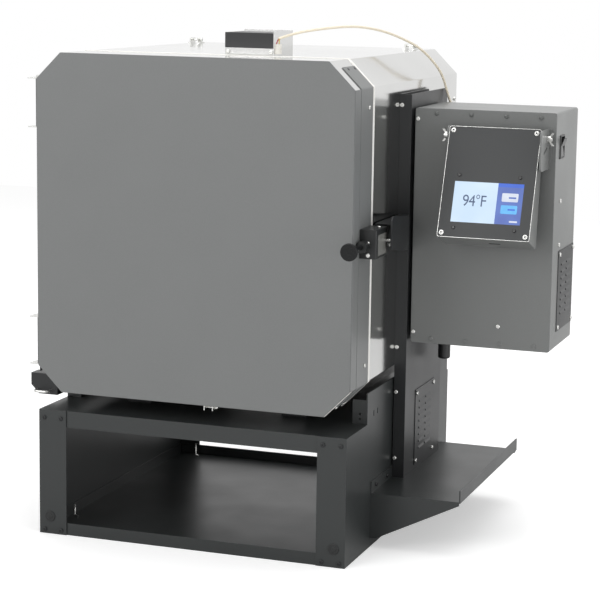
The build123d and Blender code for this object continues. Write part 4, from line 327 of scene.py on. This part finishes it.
def ceramic_fibre(name):
    """Soft white fibre board with a combed surface."""
    finish = Finish(name, Roughness=0.98, Specular_IOR_Level=0.1)
    fibres = finish.noise(0.9 * MM, detail=4, stretch=(1, 1, 0.25))
    finish.colour(finish.blend(finish.ramp(fibres, 0, 1), (0.82, 0.81, 0.77), (0.93, 0.92, 0.89)))
    finish.relief(fibres, 0.5 * MM, edge=0.8 * MM)
    return finish.material


def glazed_ceramic(name):
    """Cream glaze with faint specks."""
    finish = Finish(name, Roughness=0.22)
    specks = finish.noise(1.2 * MM, detail=3)
    finish.colour(finish.blend(finish.ramp(specks, 0, 1, 0.25, 0.5), (0.62, 0.58, 0.50), (0.82, 0.80, 0.74)))
    finish.relief(specks, 0.03 * MM, edge=0.4 * MM)
    return finish.material


def oxidised_alloy(name):
    """Heating wire with a dull grey oxide skin."""
    finish = Finish(name, Metallic=0.6)
    scale = finish.noise(1.0 * MM, detail=4)
    finish.colour(finish.blend(finish.ramp(scale, 0, 1), (0.11, 0.095, 0.085), (0.24, 0.22, 0.20)))
    finish.roughness(finish.ramp(scale, 0.45, 0.7))
    finish.relief(scale, 0.03 * MM)
    return finish.material


def brass(name):
    finish = Finish(name, Metallic=1)
    tarnish = finish.noise(2.5 * MM, detail=3)
    finish.colour(finish.blend(finish.ramp(tarnish, 0, 1), (0.46, 0.32, 0.11), (0.70, 0.54, 0.24)))
    finish.roughness(finish.ramp(tarnish, 0.25, 0.42))
    finish.relief(tarnish, 0.02 * MM, edge=0.3 * MM)
    return finish.material


def moulded_plastic(name, colour, grain, depth, gloss, **sockets):
    """Moulded plastic with a fine spark-eroded skin."""
    finish = Finish(name, **sockets)
    skin = finish.noise(grain, detail=3)
    finish.colour(finish.blend(finish.ramp(skin, 0, 1), shade(colour, 0.85), shade(colour, 1.2)))
    finish.roughness(finish.ramp(skin, gloss - 0.05, gloss + 0.08))
    finish.relief(skin, depth, edge=0.5 * MM)
    return finish.material


def woven_sleeve(name, colour, dark):
    """A braided glass sleeve: two sets of fine diagonal threads."""
    finish = Finish(name, Roughness=0.8, Specular_IOR_Level=0.3)
    diagonals = []
    for tilt in (1, -1):
        wave = finish.node("ShaderNodeTexWave", wave_type="BANDS", bands_direction="DIAGONAL")
        wave.inputs["Scale"].default_value = 420
        wave.inputs["Distortion"].default_value = 0.6
        finish.link(finish.stretched((1, tilt, 1)), wave.inputs["Vector"])
        diagonals.append(wave.outputs["Fac"])
    weave = finish.maths("MULTIPLY", *diagonals)
    finish.colour(finish.blend(finish.ramp(weave, 0, 1, 0.0, 0.6), dark, colour))
    finish.relief(weave, 0.12 * MM)
    return finish.material


def faced_plate(name, outward, least_facing=0.9):
    """Bright sheet with a dark printed face on its outer side, so that only its edges shine."""
    finish = Finish(name)
    facing = finish.node("ShaderNodeVectorMath", operation="DOT_PRODUCT")
    finish.link(finish.node("ShaderNodeTexCoord").outputs["Normal"], facing.inputs[0])
    facing.inputs[1].default_value = outward
    edge = finish.maths("LESS_THAN", facing.outputs["Value"], least_facing)
    grain = finish.noise(0.9 * MM, detail=3)
    dark = finish.blend(finish.ramp(grain, 0, 1), (0.014, 0.016, 0.017), (0.021, 0.023, 0.024))
    bright = finish.blend(finish.ramp(grain, 0, 1), (0.60, 0.60, 0.59), (0.70, 0.70, 0.69))
    finish.colour(finish.blend(edge, dark, bright))
    finish.link(edge, finish.shader.inputs["Metallic"])
    finish.roughness(finish.ramp(grain, 0.36, 0.44))
    finish.relief(grain, 0.02 * MM)
    return finish.material


def screen_glass(name):
    """Dark glass over the lit panel, with a faint smear."""
    finish = Finish(name, IOR=1.5)
    smear = finish.noise(18 * MM, detail=2)
    finish.colour(finish.blend(finish.ramp(smear, 0, 1), (0.010, 0.012, 0.016), (0.018, 0.020, 0.026)))
    finish.roughness(finish.ramp(smear, 0.06, 0.14))
    return finish.material


def lit_area(name, first, second, size):
    """A lit part of the screen, whose colour drifts between two shades."""
    finish = Finish(name, Roughness=0.3)
    finish.shader.inputs["Base Color"].default_value = (0.01, 0.01, 0.01, 1)
    drift = finish.ramp(finish.noise(size, detail=1), 0, 1)
    finish.link(finish.blend(drift, first, second), finish.shader.inputs["Emission Color"])
    finish.shader.inputs["Emission Strength"].default_value = 1
    return finish.material


FINISHES = {
    "door_paint": powder_coat("door_paint", (0.172, 0.177, 0.176), 1.3 * MM, 0.03 * MM, 0.42, 0.05),
    "stand_paint": powder_coat("stand_paint", (0.027, 0.030, 0.030), 1.1 * MM, 0.06 * MM, 0.36),
    "box_paint": powder_coat("box_paint", (0.160, 0.165, 0.162), 1.1 * MM, 0.06 * MM, 0.33),
    "black_paint": powder_coat("black_paint", (0.012, 0.013, 0.014), 1.1 * MM, 0.05 * MM, 0.38),
    "polished_stainless": polished_stainless("polished_stainless"),
    "plated_steel": plated_steel("plated_steel"),
    "back_steel": back_steel("back_steel"),
    "fire_brick": fire_brick("fire_brick"),
    "fibre_board": ceramic_fibre("fibre_board"),
    "ceramic": glazed_ceramic("ceramic"),
    "element_alloy": oxidised_alloy("element_alloy"),
    "brass": brass("brass"),
    "black_plastic": moulded_plastic("black_plastic", (0.012, 0.013, 0.013), 0.8 * MM, 0.05 * MM, 0.35),
    "knob_plastic": moulded_plastic(
        "knob_plastic", (0.007, 0.0075, 0.008), 2.0 * MM, 0.01 * MM, 0.10, Specular_IOR_Level=0.30,
    ),
    "lead_sleeve": woven_sleeve("lead_sleeve", (0.92, 0.88, 0.76), (0.80, 0.70, 0.54)),
    "screen_glass": screen_glass("screen_glass"),
    "device_plastic": moulded_plastic("device_plastic", (0.30, 0.31, 0.30), 1.0 * MM, 0.05 * MM, 0.5),
}


def dress(piece, material):
    """Gives a piece one material all over."""
    if piece.material_slots:
        for slot in piece.material_slots:
            slot.material = material
    else:
        piece.data.materials.append(material)


for part in frame["record"]["subparts"]:
    dress(frame["nodes"][part["node"]], FINISHES[part["material_slot"]])

SCREW_FINISH = display_screw_steel("display_screw_steel", SCREW_DARK_FROM, SCREW_DARK_TO)
dress(frame["nodes"]["display_screws"], SCREW_FINISH)

DISPLAY_OUTWARD = (0, -math.cos(DISPLAY_TILT), math.sin(DISPLAY_TILT))
dress(frame["nodes"]["display_plate"], faced_plate("display_face", DISPLAY_OUTWARD))


# Pieces


def add_piece(name, data, material, body):
    """A piece in the row frame that rides on a body."""
    piece = bpy.data.objects.new(name, data)
    bpy.context.scene.collection.objects.link(piece)
    dress(piece, material)
    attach(piece, body)
    return piece


def mesh_piece(name, vertices, faces, material, body, slot):
    """A piece from vertices and faces."""
    data = bpy.data.meshes.new(name)
    data.from_pydata([tuple(vertex) for vertex in vertices], [], faces)
    data.update()
    return add_piece(name, data, material, body)


def flat_piece(name, vertices, material, body, slot):
    """A piece with a single flat face."""
    return mesh_piece(name, vertices, [tuple(range(len(vertices)))], material, body, slot)


def merged(shapes):
    """The vertices and faces of several shapes as those of one."""
    vertices = []
    faces = []
    for more, added in shapes:
        start = len(vertices)
        vertices.extend(more)
        faces.extend(tuple(start + corner for corner in face) for face in added)
    return vertices, faces


def curve_piece(name, lines, radius, material, body, sides=1):
    """Round wires along lists of points, as one piece."""
    data = bpy.data.curves.new(name, "CURVE")
    data.dimensions = "3D"
    data.bevel_depth = radius
    data.bevel_resolution = sides
    data.use_fill_caps = True
    for points in lines:
        spline = data.splines.new("POLY")
        spline.points.add(len(points) - 1)
        for point, place in zip(spline.points, points):
            point.co = (*place, 1)
    return add_piece(name, data, material, body)


# Heating coils in the grooves of the side bricks


def hairpin_line(x, rear, front, low, high):
    """A function from the distance along the hairpin to a place and a heading, and the hairpin's length."""
    bend = COIL_BEND
    straight = rear - front - bend
    upright = high - low - 2 * bend
    arc = bend * math.pi / 2

    def at(distance):
        if distance < straight:
            return Vector((x, rear - distance, low)), Vector((0, -1, 0))
        distance -= straight
        if distance < arc:
            turn = distance / bend
            centre = Vector((x, front + bend, low + bend))
            outward = Vector((0, -math.sin(turn), -math.cos(turn)))
            return centre + outward * bend, Vector((0, -math.cos(turn), math.sin(turn)))
        distance -= arc
        if distance < upright:
            return Vector((x, front, low + bend + distance)), Vector((0, 0, 1))
        distance -= upright
        if distance < arc:
            turn = distance / bend
            centre = Vector((x, front + bend, high - bend))
            outward = Vector((0, -math.cos(turn), math.sin(turn)))
            return centre + outward * bend, Vector((0, math.sin(turn), math.cos(turn)))
        distance -= arc
        return Vector((x, front + bend + distance, high)), Vector((0, 1, 0))

    return at, 2 * straight + 2 * arc + upright


def coil_points(line, length):
    """A helix round the line."""
    count = int(length / COIL_PITCH * COIL_STEPS)
    points = []
    for number in range(count + 1):
        place, heading = line(length * number / count)
        across = Vector((1, 0, 0))
        upward = heading.cross(across)
        angle = 2 * math.pi * number / COIL_STEPS
        points.append(place + (across * math.cos(angle) + upward * math.sin(angle)) * COIL_RADIUS)
    return points


def heating_coils():
    """The wound elements and their straight tails, in place of the CAD hairpins."""
    low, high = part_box("heating_elements")
    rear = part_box("brick_right")[1].y - COIL_REAR_GAP
    half = COIL_RADIUS + COIL_WIRE
    front = low.y + half
    middle = (low.z + high.z) / 2
    lowest = middle - (COIL_ROWS - 1) / 2 * COIL_ROW_PITCH
    coils = []
    tails = []
    for x in (low.x + half, high.x - half):
        for pair in range(COIL_ROWS // 2):
            bottom = lowest + 2 * pair * COIL_ROW_PITCH
            top = bottom + COIL_ROW_PITCH
            line, length = hairpin_line(x, rear, front, bottom, top)
            coils.append(coil_points(line, length))
            for height in (bottom, top):
                tails.append([(x, rear - TAIL_OVERLAP, height), (x, high.y, height)])
    alloy = FINISHES["element_alloy"]
    wound = curve_piece("heating_coils", coils, COIL_WIRE, alloy, "oven")
    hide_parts("heating_elements")
    curve_piece("heating_tails", tails, TAIL_WIRE, alloy, "oven", sides=3)


heating_coils()


# Thermocouple lead


def lead_wire(name, side, colour, dark):
    """One insulated wire end between the terminal block and the lead."""
    low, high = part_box("terminal_block")
    middle = (low.x + high.x) / 2
    foot = Vector((middle + side * WIRE_FOOT_SPREAD, low.y + WIRE_FOOT_INSET, high.z + WIRE_FOOT_GAP))
    start = Vector(LEAD_ROUTE[0])
    heading = (Vector(LEAD_ROUTE[1]) - start).normalized()
    sideways = Vector((heading.y, -heading.x, 0)).normalized()
    top = start + heading * WIRE_TOP_REACH + sideways * side * WIRE_TOP_SPREAD
    bend = foot.lerp(top, 0.5) + WIRE_BOW
    material = woven_sleeve(name, colour, dark)
    points = [foot, foot.lerp(bend, 0.6), bend, bend.lerp(top, 0.5), top]
    return curve_piece(name, [points], WIRE_DIAMETER / 2, material, "oven", sides=3)


def thermocouple_lead():
    """The sleeved lead from the terminal block over the roof to the gland behind the control box."""
    data = bpy.data.curves.new("thermocouple_lead_sleeve", "CURVE")
    data.dimensions = "3D"
    data.bevel_depth = LEAD_DIAMETER / 2
    data.bevel_resolution = 4
    data.resolution_u = 12
    data.use_fill_caps = True
    spline = data.splines.new("NURBS")
    spline.points.add(len(LEAD_ROUTE) - 1)
    for point, place in zip(spline.points, LEAD_ROUTE):
        point.co = (*place, 1)
    spline.order_u = 3
    spline.use_endpoint_u = True
    piece = add_piece("thermocouple_lead_sleeve", data, FINISHES["lead_sleeve"], "oven")
    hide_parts("thermocouple_lead")
    wires = [
        lead_wire("lead_wire_red", -1, (0.62, 0.03, 0.015), (0.32, 0.015, 0.01)),
        lead_wire("lead_wire_yellow", 1, (0.80, 0.56, 0.03), (0.45, 0.28, 0.02)),
    ]


thermocouple_lead()


# The lit picture on the touch screen


def display_frame():
    """The display's own frame in the row frame: x along its bottom edge, y up its plate, z out of it."""
    low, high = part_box("display_plate")
    origin = Vector(((low.x + high.x) / 2, low.y, low.z + DISPLAY_PLATE_SHEET * math.sin(DISPLAY_TILT)))
    return Matrix.Translation(origin) @ Matrix.Rotation(math.pi / 2 - DISPLAY_TILT, 4, "X")


ON_DISPLAY = display_frame()


def display_plate_size():
    """The display plate's width, and its length along its slope."""
    low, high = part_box("display_plate")
    rise = high.z - low.z - DISPLAY_PLATE_SHEET * math.sin(DISPLAY_TILT)
    return high.x - low.x, rise / math.cos(DISPLAY_TILT)


def screen_place(across, up, layer):
    """A place on the screen in the display's frame, by shares of its size, and raised to a layer."""
    half = display_plate_size()[0] / 2
    corner = Vector((SCREEN_OFFSET - half, SCREEN_RISE, -SCREEN_DEPTH))
    lift = SCREEN_GAP + LAYER_STEP * layer
    return corner + Vector((across * SCREEN_SIZE[0], up * SCREEN_SIZE[1], lift))


def rounded_outline(left, bottom, right, top, radius, steps=5):
    """The corner points of a rectangle with round corners."""
    points = []
    corners = [
        (right - radius, top - radius, 0), (left + radius, top - radius, 90),
        (left + radius, bottom + radius, 180), (right - radius, bottom + radius, 270),
    ]
    for x, y, start in corners:
        for step in range(steps + 1):
            angle = math.radians(start + 90 * step / steps)
            points.append((x + radius * math.cos(angle), y + radius * math.sin(angle)))
    return points


def screen_area(name, left, bottom, right, top, layer, material, radius=0.1 * MM):
    """A lit rectangle, placed by shares of the screen's width and height, and higher with its layer."""
    first = screen_place(left, bottom, layer)
    last = screen_place(right, top, layer)
    outline = rounded_outline(first.x, first.y, last.x, last.y, radius)
    vertices = [ON_DISPLAY @ Vector((x, y, first.z)) for x, y in outline]
    return flat_piece(name, vertices, material, "screen", "screen_glass")


def screen_text(name, text, left, bottom, size, layer, material):
    """Digits on the screen."""
    data = bpy.data.curves.new(name, "FONT")
    data.body = text
    data.size = size
    data.extrude = 0.01 * MM
    data.space_character = DIGIT_SPACING
    piece = bpy.data.objects.new(name, data)
    bpy.context.scene.collection.objects.link(piece)
    place = Matrix.Translation(screen_place(left, bottom, layer))
    narrowed = Matrix.Diagonal((DIGIT_WIDTH, 1, 1, 1))
    piece.matrix_world = ON_DISPLAY @ place @ narrowed
    dress(piece, material)
    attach(piece, "screen")
    return piece


def screen_picture():
    """A pale field with a temperature, and a blue field with two buttons."""
    pale = lit_area("screen_pale", (0.55, 0.71, 0.90), (0.63, 0.78, 0.94), 40 * MM)
    blue = lit_area("screen_blue", (0.045, 0.10, 0.42), (0.07, 0.15, 0.52), 30 * MM)
    deep = lit_area("screen_deep", (0.008, 0.09, 0.60), (0.012, 0.12, 0.68), 30 * MM)
    white = lit_area("screen_white", (0.60, 0.65, 0.78), (0.68, 0.73, 0.84), 12 * MM)
    cyan = lit_area("screen_cyan", (0.075, 0.42, 0.85), (0.11, 0.50, 0.92), 12 * MM)
    dark = lit_area("screen_dark", (0.012, 0.045, 0.13), (0.02, 0.06, 0.17), 12 * MM)
    screen_area("screen_field_pale", 0, 0, SCREEN_SPLIT, 1, 0, pale)
    screen_area("screen_field_blue", SCREEN_SPLIT, 0, 1, 1, 0, blue)
    screen_area("screen_strip_deep", SCREEN_SPLIT, 0.91, 1, 1, 1, deep)
    screen_area("screen_button_white", 0.70, 0.555, 0.935, 0.765, 2, white, radius=1.6 * MM)
    screen_area("screen_button_cyan", 0.70, 0.26, 0.935, 0.47, 2, cyan, radius=1.6 * MM)
    screen_area("screen_bar_white", 0.80, 0.635, 0.905, 0.675, 3, blue)
    screen_area("screen_bar_cyan", 0.80, 0.345, 0.905, 0.385, 3, deep)
    screen_area("screen_bar_low", 0.84, 0.055, 0.955, 0.095, 1, white)
    screen_text("screen_reading", "94°F", 0.135, 0.405, size=25 * MM, layer=1, material=dark)


screen_picture()


# Small pieces that the CAD nodes carry


def latch_label():
    """The bare pale label on the latch housing's right face."""
    low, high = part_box("latch_housing")
    face = high.x + 0.05 * MM
    rear = high.y - 3 * MM
    front = high.y - 44 * MM
    bottom = low.z + 4 * MM
    top = high.z - 8 * MM
    vertices = [(face, y, z) for y, z in rounded_outline(front, bottom, rear, top, radius=1 * MM)]
    material = moulded_plastic("label_plastic", (0.15, 0.15, 0.14), 0.9 * MM, 0.04 * MM, 0.35)
    flat_piece("latch_label", vertices, material, "door", "device_plastic")


latch_label()


def dome(centre, outward, radius, height, rings=4, sides=20, wall=0.35):
    """Vertices and faces of a low round head. It rises straight at first, by a share of its height."""
    turn = Vector(outward).to_track_quat("Z", "Y").to_matrix()
    vertices = [centre]
    profile = [(radius, 0), (radius, height * wall)]
    for step in range(1, rings):
        angle = math.pi / 2 * step / rings
        profile.append((radius * math.cos(angle), height * (wall + (1 - wall) * math.sin(angle))))
    for distance, lift in profile:
        for side in range(sides):
            angle = 2 * math.pi * side / sides
            around = Vector((distance * math.cos(angle), distance * math.sin(angle), lift))
            vertices.append(centre + turn @ around)
    vertices.append(centre + turn @ Vector((0, 0, height)))
    faces = []
    for side in range(sides):
        after = (side + 1) % sides
        faces.append((0, 1 + after, 1 + side))
        for step in range(len(profile) - 1):
            low = 1 + step * sides
            high = low + sides
            faces.append((low + side, low + after, high + after, high + side))
        last = 1 + (len(profile) - 1) * sides
        faces.append((last + side, last + after, len(vertices) - 1))
    return vertices, faces


def domes(name, places, outward, radius, height, material, body, slot):
    """Several low round heads as one piece."""
    shapes = [dome(Vector(place), outward, radius, height) for place in places]
    piece = mesh_piece(name, *merged(shapes), material, body, slot)
    for polygon in piece.data.polygons:
        polygon.use_smooth = True
    return piece


def latch_heads():
    """The small button on the latch housing's front and the rivet on its top."""
    low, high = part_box("latch_housing")
    collar = 16 * MM
    button = (high.x - 12 * MM, low.y + collar, high.z - 19 * MM)
    rivet = (high.x - 9 * MM, high.y - 12 * MM, high.z)
    plated = FINISHES["plated_steel"]
    for name, place, outward, radius, height in (
        ("latch_button", button, (0, -1, 0), 1.7 * MM, 0.9 * MM),
        ("latch_rivet", rivet, (0, 0, 1), 3.2 * MM, 1.6 * MM),
    ):
        domes(name, [place], outward, radius, height, plated, "door", "plated_steel")


latch_heads()


def cover_hole_shades():
    """Two black round heads near the end of the side cover, on the upper cut corner, where it shows two
    holes. Their black is painted shade of the holes.
    """
    low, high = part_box("door_side_cover")
    inward = 27 * MM
    x = high.x - inward
    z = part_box("door_jacket")[1].z - CORNER_CUT + inward
    places = [(x, low.y + distance, z) for distance in (18 * MM, 47 * MM)]
    domes(
        "cover_hole_shades", places, outward=(1, 0, 1), radius=2.4 * MM, height=1.1 * MM,
        # Their black is painted shade of the holes in the cover.
        material=FINISHES["black_paint"], body="door", slot="black_paint",
    )


cover_hole_shades()


def swept_strip(name, stations, material, slot):
    """A strip on the door through stations, which are outlines with the same count of points."""
    vertices = [place for station in stations for place in station]
    size = len(stations[0])
    faces = [tuple(range(size)), tuple(range(len(vertices) - 1, len(vertices) - 1 - size, -1))]
    for start in range(0, len(vertices) - size, size):
        for corner in range(size):
            after = (corner + 1) % size
            faces.append((start + corner, start + size + corner, start + size + after, start + after))
    return mesh_piece(name, vertices, faces, material, "door", slot)


def door_plate_fold():
    """The painted fold of the door plate, from its front edge back to the side cover."""
    low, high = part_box("door_plate")
    front = high.y - 0.4 * MM
    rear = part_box("door_side_cover")[0].y - 0.3 * MM
    inside = high.x - 0.1 * MM
    outside = high.x + 0.9 * MM
    section = [
        (inside, front), (outside - 0.3 * MM, front + 0.2 * MM), (outside, front + 0.8 * MM),
        (outside, rear), (inside, rear),
    ]
    end_gap = CORNER_CUT + 0.5 * MM
    stations = [[Vector((x, y, z)) for x, y in section] for z in (high.z - end_gap, low.z + end_gap)]
    swept_strip("door_plate_fold", stations, FINISHES["door_paint"], "door_paint")


# The two points of the door's outline at the ends of its lower right cut
LOWER_CORNER = slice(3, 5)


def cut_outline(offset):
    """The door's outline from its upper left over its right side to its lower left, moved outward."""
    low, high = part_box("door_jacket")
    cut = CORNER_CUT + offset * (2 - math.sqrt(2))
    left, right = low.x, high.x + offset
    bottom, top = low.z - offset, high.z + offset
    return [
        (left + cut, top), (right - cut, top), (right, top - cut),
        (right, bottom + cut), (right - cut, bottom), (left + cut, bottom),
    ]


def door_seal_edge():
    """The soft white edge of the seal in the gap between the door and the body. Its white is partly the
    fibre's own colour and partly a painted reflection of the polished edges beside it.
    """
    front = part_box("door_jacket")[1].y + 0.2 * MM
    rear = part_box("body_jacket")[0].y - 0.5 * MM
    root, shoulder, crown = -3 * MM, 0.3 * MM, 0.9 * MM
    rounding = 1.3 * MM
    profile = [
        (root, front), (shoulder, front), (crown, front + rounding),
        (crown, rear - rounding), (shoulder, rear), (root, rear),
    ]
    outlines = [(cut_outline(offset), y) for offset, y in profile]
    stations = []
    for corner in range(len(cut_outline(0))):
        stations.append([Vector((outline[corner][0], y, outline[corner][1])) for outline, y in outlines])
    # The seal's white is partly a painted reflection of the polished edges.
    swept_strip("door_seal_edge", stations, FINISHES["fibre_board"], "fibre_board")


def cut_corner_strip():
    """The pale strip behind the door plate on its lower cut corner. Its pale colour is partly fibre and
    partly a painted reflection of the polished jacket edge that it covers.
    """
    inner, outer = (cut_outline(offset)[LOWER_CORNER] for offset in (-0.1 * MM, 0.5 * MM))
    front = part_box("door_plate")[1].y + 0.2 * MM
    rear = front + 7 * MM
    stations = []
    for (inner_x, inner_z), (outer_x, outer_z) in zip(inner, outer):
        stations.append([
            Vector((inner_x, front, inner_z)), Vector((outer_x, front, outer_z)),
            Vector((outer_x, rear, outer_z)), Vector((inner_x, rear, inner_z)),
        ])
    # Pale colour: partly fibre, partly a painted reflection of the polished edge.
    swept_strip("cut_corner_strip", stations, FINISHES["fibre_board"], "fibre_board")


def lower_corner_screws():
    """Bright screw heads on the lower cut corner of the door."""
    low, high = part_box("door_jacket")
    along = 6 * MM
    x = high.x - CORNER_CUT + along
    places = [(x, low.y + distance, low.z + along) for distance in (38 * MM, 70 * MM)]
    domes(
        "lower_corner_screws", places, outward=(1, 0, -1), radius=3 * MM, height=2 * MM,
        material=FINISHES["plated_steel"], body="door", slot="plated_steel",
    )


door_plate_fold()
door_seal_edge()
cut_corner_strip()
lower_corner_screws()


def ring(inner, outer, thickness, sides=28):
    """Vertices and faces of a flat washer round the origin, on the plane z = 0."""
    vertices = []
    section = ((outer, 0), (outer, thickness), (inner, thickness), (inner, 0))
    for radius, lift in section:
        for side in range(sides):
            angle = 2 * math.pi * side / sides
            vertices.append(Vector((radius * math.cos(angle), radius * math.sin(angle), lift)))
    faces = []
    for band in range(len(section)):
        for side in range(sides):
            after = (side + 1) % sides
            low = band * sides
            high = (band + 1) % len(section) * sides
            faces.append((low + side, low + after, high + after, high + side))
    return vertices, faces


def display_washers():
    """Bright washers under the display plate's corner screws, and thin black discs on their heads as painted
    shade of their sockets.
    """
    width, length = display_plate_size()
    inset = 6.5 * MM
    head_height = 1.8 * MM
    centres = [(x, y) for x in (inset - width / 2, width / 2 - inset) for y in (inset, length - inset)]
    washer = ring(inner=2.9 * MM, outer=3.5 * MM, thickness=0.6 * MM)
    # The black discs on the screw heads are painted shade of their sockets.
    socket = ring(inner=0.05 * MM, outer=1.5 * MM, thickness=0.1 * MM)
    for name, (vertices, faces), lift, slot in (
        ("display_washers", washer, 0, "plated_steel"),
        ("display_socket_shades", socket, head_height, "black_paint"),
    ):
        shapes = []
        for x, y in centres:
            shapes.append(([ON_DISPLAY @ (vertex + Vector((x, y, lift))) for vertex in vertices], faces))
        mesh_piece(name, *merged(shapes), FINISHES[slot], "screen", slot)


display_washers()


def plate_border():
    """The bright border round the display plate's dark face: partly its bare metal rim and partly a painted
    highlight along the plate's edge.
    """
    width, length = display_plate_size()
    half = width / 2
    border = 0.35 * MM
    corner = 3 * MM
    lift = 0.08 * MM
    outer = rounded_outline(-half, 0, half, length, corner)
    inner = rounded_outline(border - half, border, half - border, length - border, corner - border)
    vertices = [ON_DISPLAY @ Vector((x, y, lift)) for x, y in outer + inner]
    count = len(outer)
    faces = []
    for number in range(count):
        after = (number + 1) % count
        faces.append((number, after, count + after, count + number))
    # The bright strip is partly a painted highlight along the plate's edge.
    mesh_piece("plate_border", vertices, faces, FINISHES["plated_steel"], "screen", "plated_steel")


plate_border()


def box_rivets():
    """Darker round heads over the pressed marks along the top of the control box's front. Their darker paint
    is partly the heads' own colour and partly painted shade of the pressed marks.
    """
    low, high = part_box("control_box_front")
    sunk = 0.6 * MM
    places = [(low.x + offset, low.y + sunk, high.z - RIVET_MARGIN) for offset in RIVET_OFFSETS]
    domes(
        "box_rivets", places, outward=(0, -1, 0), radius=3.3 * MM, height=1.4 * MM,
        # Darker than the box paint: partly painted shade of the pressed marks.
        material=powder_coat("rivet_paint_and_shade", (0.105, 0.110, 0.107), 1.1 * MM, 0.04 * MM, 0.24),
        body="oven", slot="box_paint",
    )


def stand_tabs():
    """Two small bright tabs on the stand's floor, at its left corners."""
    low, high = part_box("stand_floor")
    foot = 6 * MM
    heel = 4 * MM
    bend = 5 * MM
    tabs = [
        (low.x + 11 * MM, low.y + 93 * MM, 22 * MM),
        (low.x + 39 * MM, high.y - 22 * MM, 26 * MM),
    ]
    lines = [[(x + foot, y, heel), (x, y, bend), (x, y, top)] for x, y, top in tabs]
    curve_piece("stand_tabs", lines, 1.9 * MM, FINISHES["plated_steel"], "oven", sides=2)


def plug_centres():
    """The dark middles of the two plugs at the stand's front."""
    low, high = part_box("stand_plugs")
    radius = (high.z - low.z) / 2
    middle = (low.z + high.z) / 2
    sunk = 0.1 * MM
    places = [(x, low.y + sunk, middle) for x in (low.x + radius, high.x - radius)]
    domes(
        "plug_centres", places, outward=(0, -1, 0), radius=4.6 * MM, height=0.5 * MM,
        material=FINISHES["black_plastic"], body="oven", slot="black_plastic",
    )


box_rivets()
stand_tabs()
plug_centres()


def housing_slot():
    """A flat near-black sheet under the display housing, painted shade in place of its slot's dark inside.
    """
    gap = 0.06 * MM
    left, right = 3 * MM, 21 * MM
    rear, front = -32 * MM, -27 * MM
    outline = rounded_outline(left, rear, right, front, radius=2 * MM)
    vertices = [ON_DISPLAY @ Vector((x, -gap, z)) for x, z in outline]
    # The near-black colour is painted shade for the inside of the slot.
    material = moulded_plastic("slot_painted_shade", (0.008, 0.008, 0.008), 1 * MM, 0.01 * MM, 0.8)
    flat_piece("housing_slot", vertices, material, "screen", "black_plastic")


housing_slot()


# Camera, floor and light


def make_camera():
    """The photograph's camera."""
    data = bpy.data.cameras.new("camera")
    data.sensor_fit = "HORIZONTAL"
    data.sensor_width = SENSOR_WIDTH
    data.lens = CAMERA_LENS
    data.shift_x, data.shift_y = CAMERA_SHIFT
    data.clip_start, data.clip_end = CAMERA_REACH
    camera = bpy.data.objects.new("camera", data)
    bpy.context.scene.collection.objects.link(camera)
    heading = Euler((math.pi / 2 - CAMERA_PITCH, 0, CAMERA_YAW)).to_matrix()
    turn = heading @ Matrix.Rotation(CAMERA_ROLL, 3, "Z")
    camera.matrix_world = Matrix.Translation(CAMERA_PLACE) @ turn.to_4x4()
    bpy.context.scene.camera = camera


make_camera()


def make_floor():
    """A plain white floor. It looks a little lighter to the camera, and keeps the shadow."""
    half = FLOOR_SIZE / 2
    data = bpy.data.meshes.new("floor")
    corners = [(-half, -half, 0), (half, -half, 0), (half, half, 0), (-half, half, 0)]
    data.from_pydata(corners, [], [(0, 1, 2, 3)])
    floor = bpy.data.objects.new("floor", data)
    bpy.context.scene.collection.objects.link(floor)
    finish = Finish("floor_white", Roughness=0.9, Specular_IOR_Level=0.0)
    tone = finish.noise(0.5, detail=1)
    finish.colour(finish.blend(tone, (0.83, 0.83, 0.83), (0.86, 0.86, 0.86)))
    rays = finish.node("ShaderNodeLightPath")
    lift = finish.maths("MULTIPLY", rays.outputs["Is Camera Ray"], FLOOR_LIFT)
    finish.shader.inputs["Emission Color"].default_value = (1, 1, 1, 1)
    finish.link(lift, finish.shader.inputs["Emission Strength"])
    dress(floor, finish.material)


make_floor()


def make_sky():
    """White to the eye and in reflections, and a softer light on matt surfaces."""
    world = bpy.data.worlds.new("studio")
    world.use_nodes = True
    bpy.context.scene.world = world
    tree = world.node_tree
    background = tree.nodes["Background"]
    background.inputs["Color"].default_value = (1, 1, 1, 1)
    rays = tree.nodes.new("ShaderNodeLightPath")
    seen = rays.outputs["Is Camera Ray"]
    for kind in ("Is Glossy Ray", "Is Transmission Ray"):
        either = tree.nodes.new("ShaderNodeMath")
        either.operation = "MAXIMUM"
        tree.links.new(seen, either.inputs[0])
        tree.links.new(rays.outputs[kind], either.inputs[1])
        seen = either.outputs["Value"]
    strength = tree.nodes.new("ShaderNodeMapRange")
    strength.inputs["To Min"].default_value = SKY_LIGHT
    strength.inputs["To Max"].default_value = 1
    tree.links.new(seen, strength.inputs["Value"])
    tree.links.new(strength.outputs["Result"], background.inputs["Strength"])


make_sky()


def soft_lamp(name, place, size, power, target=(0.1, 0, 0.4)):
    """A square soft lamp that faces the object."""
    data = bpy.data.lights.new(name, "AREA")
    data.shape = "SQUARE"
    data.size = size
    data.energy = power
    lamp = bpy.data.objects.new(name, data)
    bpy.context.scene.collection.objects.link(lamp)
    heading = Vector(target) - Vector(place)
    lamp.rotation_euler = heading.to_track_quat("-Z", "Y").to_euler()
    lamp.location = place


soft_lamp("lamp_front", (-1.2, -3.0, 2.0), size=1.8, power=38)
soft_lamp("lamp_top", (0.4, 0.4, 3.0), size=2.2, power=41)
soft_lamp("lamp_right", (3.0, -1.0, 0.6), size=1.6, power=21)

bpy.context.scene.view_settings.view_transform = "Standard"
